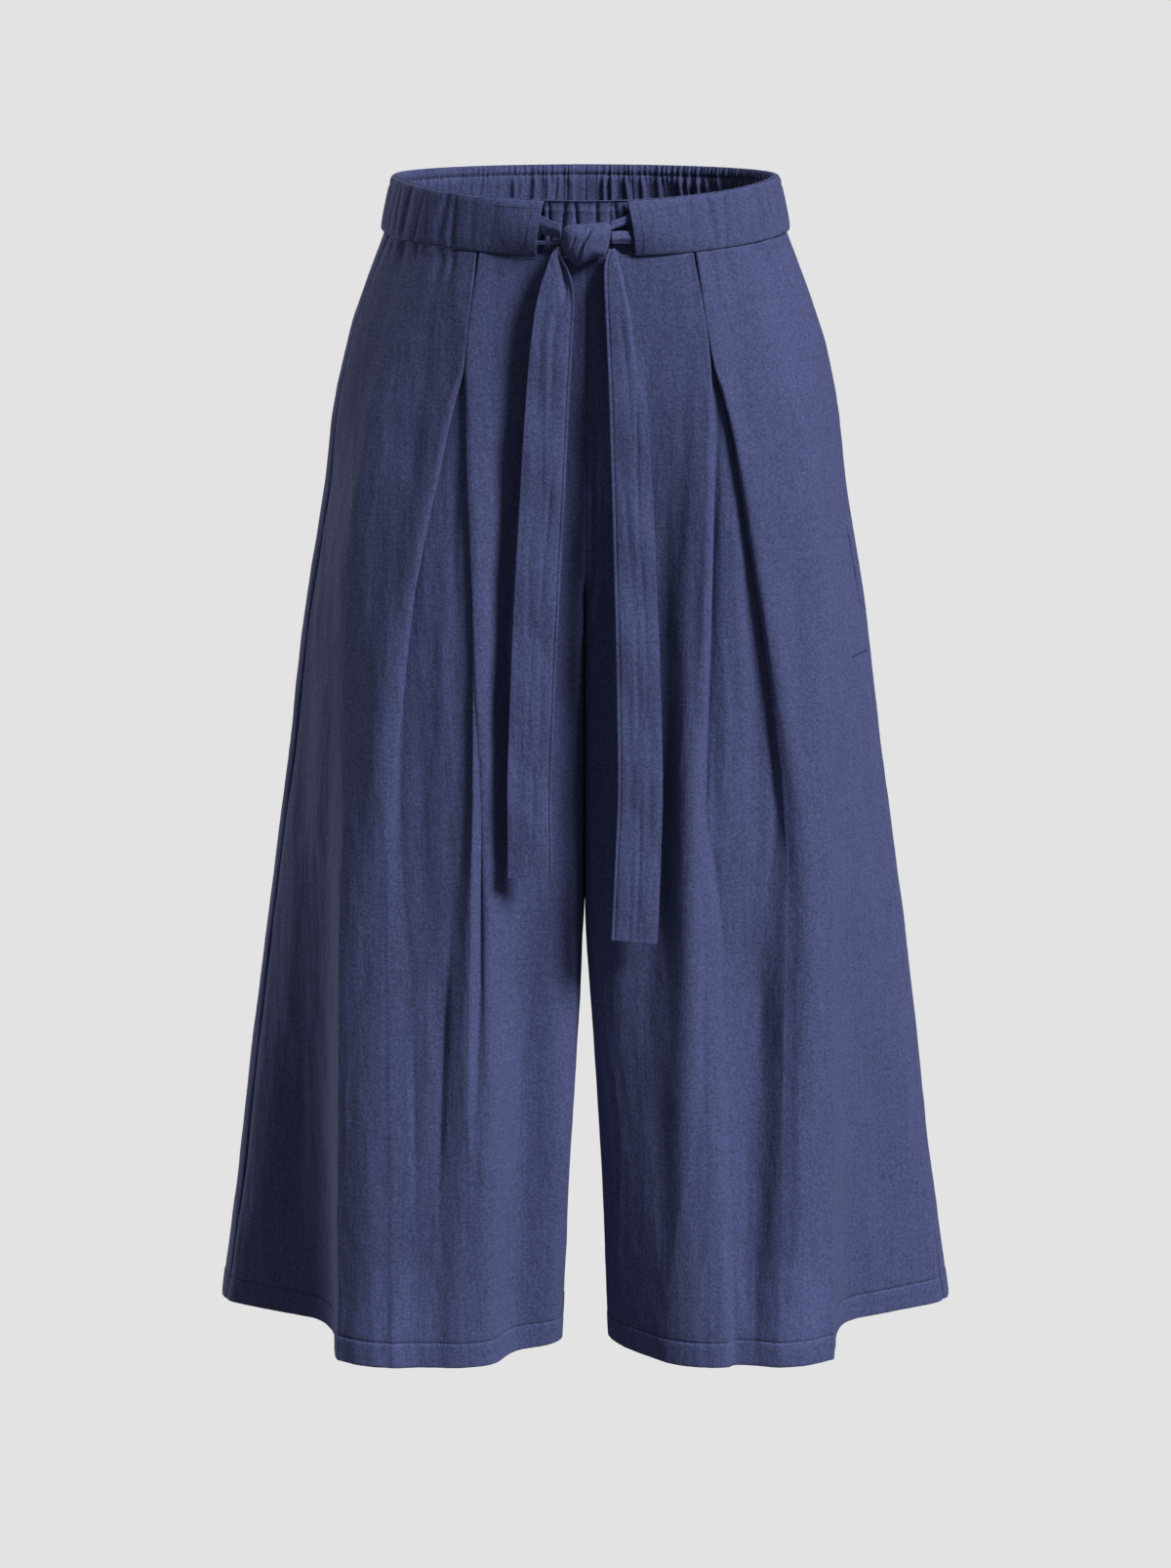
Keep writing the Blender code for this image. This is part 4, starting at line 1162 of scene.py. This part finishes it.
def tape_depth(name, tape, across, down, fold, edge, seed):
    """How far back each point of a tie end lies, and how far across its stitches are."""
    free = ease(down, *TAPE_FREE)
    wave = 0.0011 * np.sin(down * 31 + seed + across * 0.8)
    wave = wave + 0.0007 * np.sin(down * 74 + 2 * seed - across * 1.3)
    y = -tape.forward[:, None] + fold(across, down) + tape_creased(name, across, down) + wave * free
    y = y + 0.0010 * (across**2) * free
    inside = 1 - TAPE_STITCH / tape.half.clip(0.004)
    return y + 0.0007 * bell((edge * across - inside[:, None]) * tape.half[:, None], 0.0006), inside


def tie_end(name, rows, fold, slant, edge, seed):
    """One hanging end of the tie, with the row of stitches along one edge (-1 left or 1 right)."""
    downs = spread(rows[0].down, (0.10, 40), (rows[-1].down - 0.0008, 148), (rows[-1].down, 3))
    tape = between(rows, downs)
    across = spread(-1.0, (-0.80, 10), (0.80, 24), (1.0, 10))[None, :]
    down = downs[:, None]
    x = tape.x[:, None] + tape.half[:, None] * across
    y, inside = tape_depth(name, tape, across, down, fold, edge, seed)
    z = -down - slant * across * ease(down, rows[-1].down - END_SLANT, rows[-1].down)
    grid = np.stack(np.broadcast_arrays(x, y, z), axis=-1)
    grid[..., 1] -= 0.0007 * crumple(grid, 70, 22, seed) + 0.0003 * crumple(grid, 170, 60, seed + 9)
    piece = cloth_piece(name, grid, "tie_cloth", thickness=TAPE)
    middle = grid[:, MIDDLE_COLUMN]
    stitched_y = [np.interp(edge * place, across[0], row) for place, row in zip(inside, grid[..., 1])]
    line = np.stack([tape.x + edge * inside * tape.half, stitched_y, middle[:, 2]], axis=-1)
    line = line[STITCH_FROM:STITCH_TO]
    return stitch_row(line, np.tile((0.0, -1.0, 0.0), (len(line), 1)), TAPE / 2)


tie_rows = [
    tie_end("tie_end_left", TIE_END_LEFT, left_fold, -0.0015, 1, 1.3),
    tie_end("tie_end_right", TIE_END_RIGHT, right_fold, 0.0016, -1, 2.7),
]
stitches("tie_stitches", tie_rows, "tie_cloth")

# %% [markdown]
# ## A class for shader maths
# A woven finish is mostly arithmetic on noise. Written as nodes, one line of arithmetic becomes a page of
# code, so a small class wraps a socket and lets Python's operators add the Math nodes. Every other kind of
# node comes from one method, which sets the node's own options first and then plugs in values or links.

# %% Shader maths
class Wire:
    """An output socket that can be added, multiplied and so on."""

    def __init__(self, tree, socket):
        self.tree, self.socket = tree, socket

    def maths(self, operation, first, second):
        node = self.tree.nodes.new("ShaderNodeMath")
        node.operation = operation
        for place, value in enumerate((first, second)):
            plug(self.tree, node.inputs[place], value)
        return Wire(self.tree, node.outputs[0])

    def __add__(self, other):
        return self.maths("ADD", self, other)

    def __sub__(self, other):
        return self.maths("SUBTRACT", self, other)

    def __rsub__(self, other):
        return self.maths("SUBTRACT", other, self)

    def __mul__(self, other):
        return self.maths("MULTIPLY", self, other)

    __radd__ = __add__
    __rmul__ = __mul__


def plug(tree, socket, value):
    """Gives a socket a link, or a value of its own."""
    if isinstance(value, Wire):
        tree.links.new(value.socket, socket)
    else:
        socket.default_value = value


class Finish:
    """A material and the nodes that are added to it."""

    def __init__(self, name):
        self.material = bpy.data.materials.new(name)
        self.material.use_nodes = True
        self.tree = self.material.node_tree
        self.shader = self.tree.nodes["Principled BSDF"]

    def node(self, kind, settings, sockets, output=None):
        """Any node: its type, its settings, its sockets' values or links, and which output is wanted."""
        node = self.tree.nodes.new(kind)
        for setting, value in settings.items():
            setattr(node, setting, value)
        for key, value in sockets.items():
            if isinstance(key, int):
                socket = node.inputs[key]
            else:
                socket = next(s for s in node.inputs if s.name == key and s.enabled)
            plug(self.tree, socket, value)
        wanted = next(s for s in node.outputs if s.enabled and output in (None, s.name))
        return Wire(self.tree, wanted)

    def feed(self, name, value):
        """Plugs a value or link into the surface shader."""
        plug(self.tree, self.shader.inputs[name], value)


# %% [markdown]
# ## The cloth's finish
# The real cloth is a matt navy twill of cotton and linen. Close up it has upright slubs, thinner ones
# across, a faint diagonal grain, a few pale specks, and near the hem two small places where it is thin and
# the weave shows through. All of it is worked out from the place on the garment, so nothing has to be
# unwrapped. Linen reflects almost nothing, so the gloss is low and a weak sheen stands for the fuzz on its
# surface.

# %% Cloth material
def stretched_noise(finish, place, across, down, detail, rough=0.55):
    """Noise between 0 and 1, with this many waves for each metre across and down the garment."""
    sockets = {0: place, 1: (across, across, down)}
    scaled = finish.node("ShaderNodeVectorMath", {"operation": "MULTIPLY"}, sockets)
    sockets = {"Vector": scaled, "Scale": 1.0, "Detail": detail, "Roughness": rough}
    return finish.node("ShaderNodeTexNoise", {}, sockets)


def tinted(finish, colour, shade):
    """A colour made lighter or darker by a value that changes over the cloth."""
    return finish.node("ShaderNodeVectorMath", {"operation": "SCALE"}, {"Vector": colour, "Scale": shade})


def bumped(finish, height, strength, distance, **under):
    """A bump of this height, over another bump if one is given as Normal."""
    sockets = {"Strength": strength, "Distance": distance, "Height": height, **under}
    return finish.node("ShaderNodeBump", {}, sockets)


def between_values(finish, value, low, high):
    """0 below low and 1 above high, with a soft step between."""
    settings = {"interpolation_type": "SMOOTHSTEP"}
    return finish.node("ShaderNodeMapRange", settings, {"Value": value, "From Min": low, "From Max": high})


THIN_PATCHES = ((-0.136, 0.826, 0.040, 0.052), (0.146, 0.818, 0.042, 0.048))  # x, down, wide, tall


def thin_patch(finish, axes, x, down, wide, tall):
    """A soft-edged patch on the front, around this place: 1 in its middle."""
    side = (axes["X"] - x) * (1 / wide)
    up = (axes["Z"] + down) * (1 / tall)
    near = between_values(finish, side * side + up * up, 1.0, 0.2)
    return near * between_values(finish, axes["Y"], -0.06, -0.10)


def cloth_finish(name, colour):
    """The navy cloth in one shade."""
    finish = Finish(name)
    place = finish.node("ShaderNodeTexCoord", {}, {}, "Object")
    axes = {a: finish.node("ShaderNodeSeparateXYZ", {}, {"Vector": place}, a) for a in "XYZ"}
    slubs = stretched_noise(finish, place, 520, 16, 3)
    weft = stretched_noise(finish, place, 22, 420, 2)
    grain = stretched_noise(finish, place, 560, 560, 3)
    cloud = stretched_noise(finish, place, 16, 7, 3)
    heather = between_values(finish, grain, 0.36, 0.64)
    streaks = between_values(finish, slubs, 0.34, 0.66)
    specks = between_values(finish, stretched_noise(finish, place, 300, 230, 1), 0.735, 0.775)
    left_patch, right_patch = [thin_patch(finish, axes, *patch) for patch in THIN_PATCHES]
    thin = left_patch + right_patch
    threads = stretched_noise(finish, place, 620, 60, 2) + stretched_noise(finish, place, 60, 620, 2)
    shade = 0.54 + 0.09 * streaks + 0.18 * weft + 0.42 * heather + 0.20 * cloud + 0.45 * specks
    shade = shade + thin * (0.50 * threads - 0.30)
    finish.feed("Base Color", tinted(finish, colour, shade))
    finish.feed("Roughness", 0.86)
    finish.feed("Specular IOR Level", 0.22)
    finish.feed("Sheen Weight", 0.12)
    finish.feed("Sheen Roughness", 0.45)
    finish.feed("Sheen Tint", (0.55, 0.60, 0.90, 1.0))
    wrinkles = stretched_noise(finish, place, 75, 17, 4, 0.6)
    soft = bumped(finish, wrinkles, 0.7, 0.0020)
    weave = 0.30 * slubs + 0.25 * weft + 0.65 * grain
    finish.feed("Normal", bumped(finish, weave, 0.75, 0.0006, Normal=soft))
    return finish.material


def thread_finish(name, colour):
    """Sewing thread in a navy much darker than the cloth's, and a little smoother than the cloth."""
    finish = Finish(name)
    place = finish.node("ShaderNodeTexCoord", {}, {}, "Object")
    twist = stretched_noise(finish, place, 1500, 1500, 1)
    finish.feed("Base Color", tinted(finish, colour, 0.8 + 0.4 * twist))
    finish.feed("Roughness", 0.6)
    finish.feed("Specular IOR Level", 0.35)
    return finish.material


NAVY = (0.066, 0.078, 0.190)
FINISHES = {
    "leg_cloth": cloth_finish("navy_leg_cloth", NAVY),
    "band_cloth": cloth_finish("navy_band_cloth", NAVY),
    "tie_cloth": cloth_finish("navy_tie_cloth", (0.070, 0.082, 0.200)),
}
THREAD_FINISH = thread_finish("navy_thread", (0.024, 0.028, 0.064))
for piece, slot in made.values():
    piece.data.materials.append(THREAD_FINISH if "stitches" in piece.name else FINISHES[slot])
print(len(made), "pieces finished")

# %% [markdown]
# ## Floor, light and camera
# A product photograph like this has one large soft light from the upper right, a weak low one from behind
# on the left, an even light from everywhere, and a background that is plain and evenly bright. A very wide
# pale floor, lit by a soft sun, has the same brightness all over, and it lies low enough that no shadow
# comes into the picture. The camera stands at chest height and looks slightly down, as the open waist and
# the hems show.

# %% Floor
FLOOR_DROP = 2.2          # the floor lies this far below the waist
FLOOR_SIZE = 400.0


def make_floor():
    """A wide pale floor that only the camera sees."""
    half = FLOOR_SIZE / 2
    corners = [(x * half, y * half, -FLOOR_DROP) for x, y in ((-1, -1), (1, -1), (1, 1), (-1, 1))]
    floor = mesh_object("studio_floor", corners, [[0, 1, 2, 3]])
    finish = Finish("pale_floor")
    finish.feed("Base Color", (0.80, 0.80, 0.80, 1.0))
    finish.feed("Roughness", 1.0)
    finish.feed("Specular IOR Level", 0.0)
    floor.data.materials.append(finish.material)
    floor.visible_diffuse = False
    floor.visible_glossy = False


make_floor()
print("floor", FLOOR_DROP, "m below the waist")

# %% Light
WORLD_LIGHT = 0.155
KEY_POWER = 3.667
RIM_POWER = 1.2


def sun(name, power, azimuth, elevation, softness):
    """A distant light: its degrees to the right of the camera, its degrees up, and how soft it is."""
    light = bpy.data.lights.new(name, "SUN")
    light.energy = power
    light.angle = math.radians(softness)
    lamp = bpy.data.objects.new(name, light)
    lamp.rotation_euler = (math.radians(90 - elevation), 0, math.radians(azimuth))
    bpy.context.scene.collection.objects.link(lamp)


sun("key", KEY_POWER, azimuth=52, elevation=40, softness=20)
sun("rim", RIM_POWER, azimuth=-125, elevation=8, softness=20)
world = bpy.data.worlds.new("studio")
world.use_nodes = True
background = world.node_tree.nodes["Background"]
background.inputs["Color"].default_value = (1.0, 1.0, 1.0, 1.0)
background.inputs["Strength"].default_value = WORLD_LIGHT
bpy.context.scene.world = world
print("key", KEY_POWER, "rim", RIM_POWER, "world", WORLD_LIGHT)

# %% Camera
CAMERA_PLACE = (0.0, -3.42974, 0.24779)
CAMERA_TILT = 11.5        # degrees below the horizon
LENS = 108.15             # millimetres
SENSOR = 36.0             # millimetres, along the frame's longer side
VIEW_END = 500.0          # the camera sees as far as the floor reaches
camera = bpy.data.objects.new("camera", bpy.data.cameras.new("camera"))
camera.location = CAMERA_PLACE
camera.rotation_euler = (math.radians(90 - CAMERA_TILT), 0, 0)
camera.data.lens = LENS
camera.data.sensor_width = SENSOR
camera.data.clip_end = VIEW_END
bpy.context.scene.collection.objects.link(camera)
bpy.context.scene.camera = camera
bpy.context.scene.view_settings.view_transform = "Standard"
print("camera", CAMERA_PLACE, "lens", LENS)
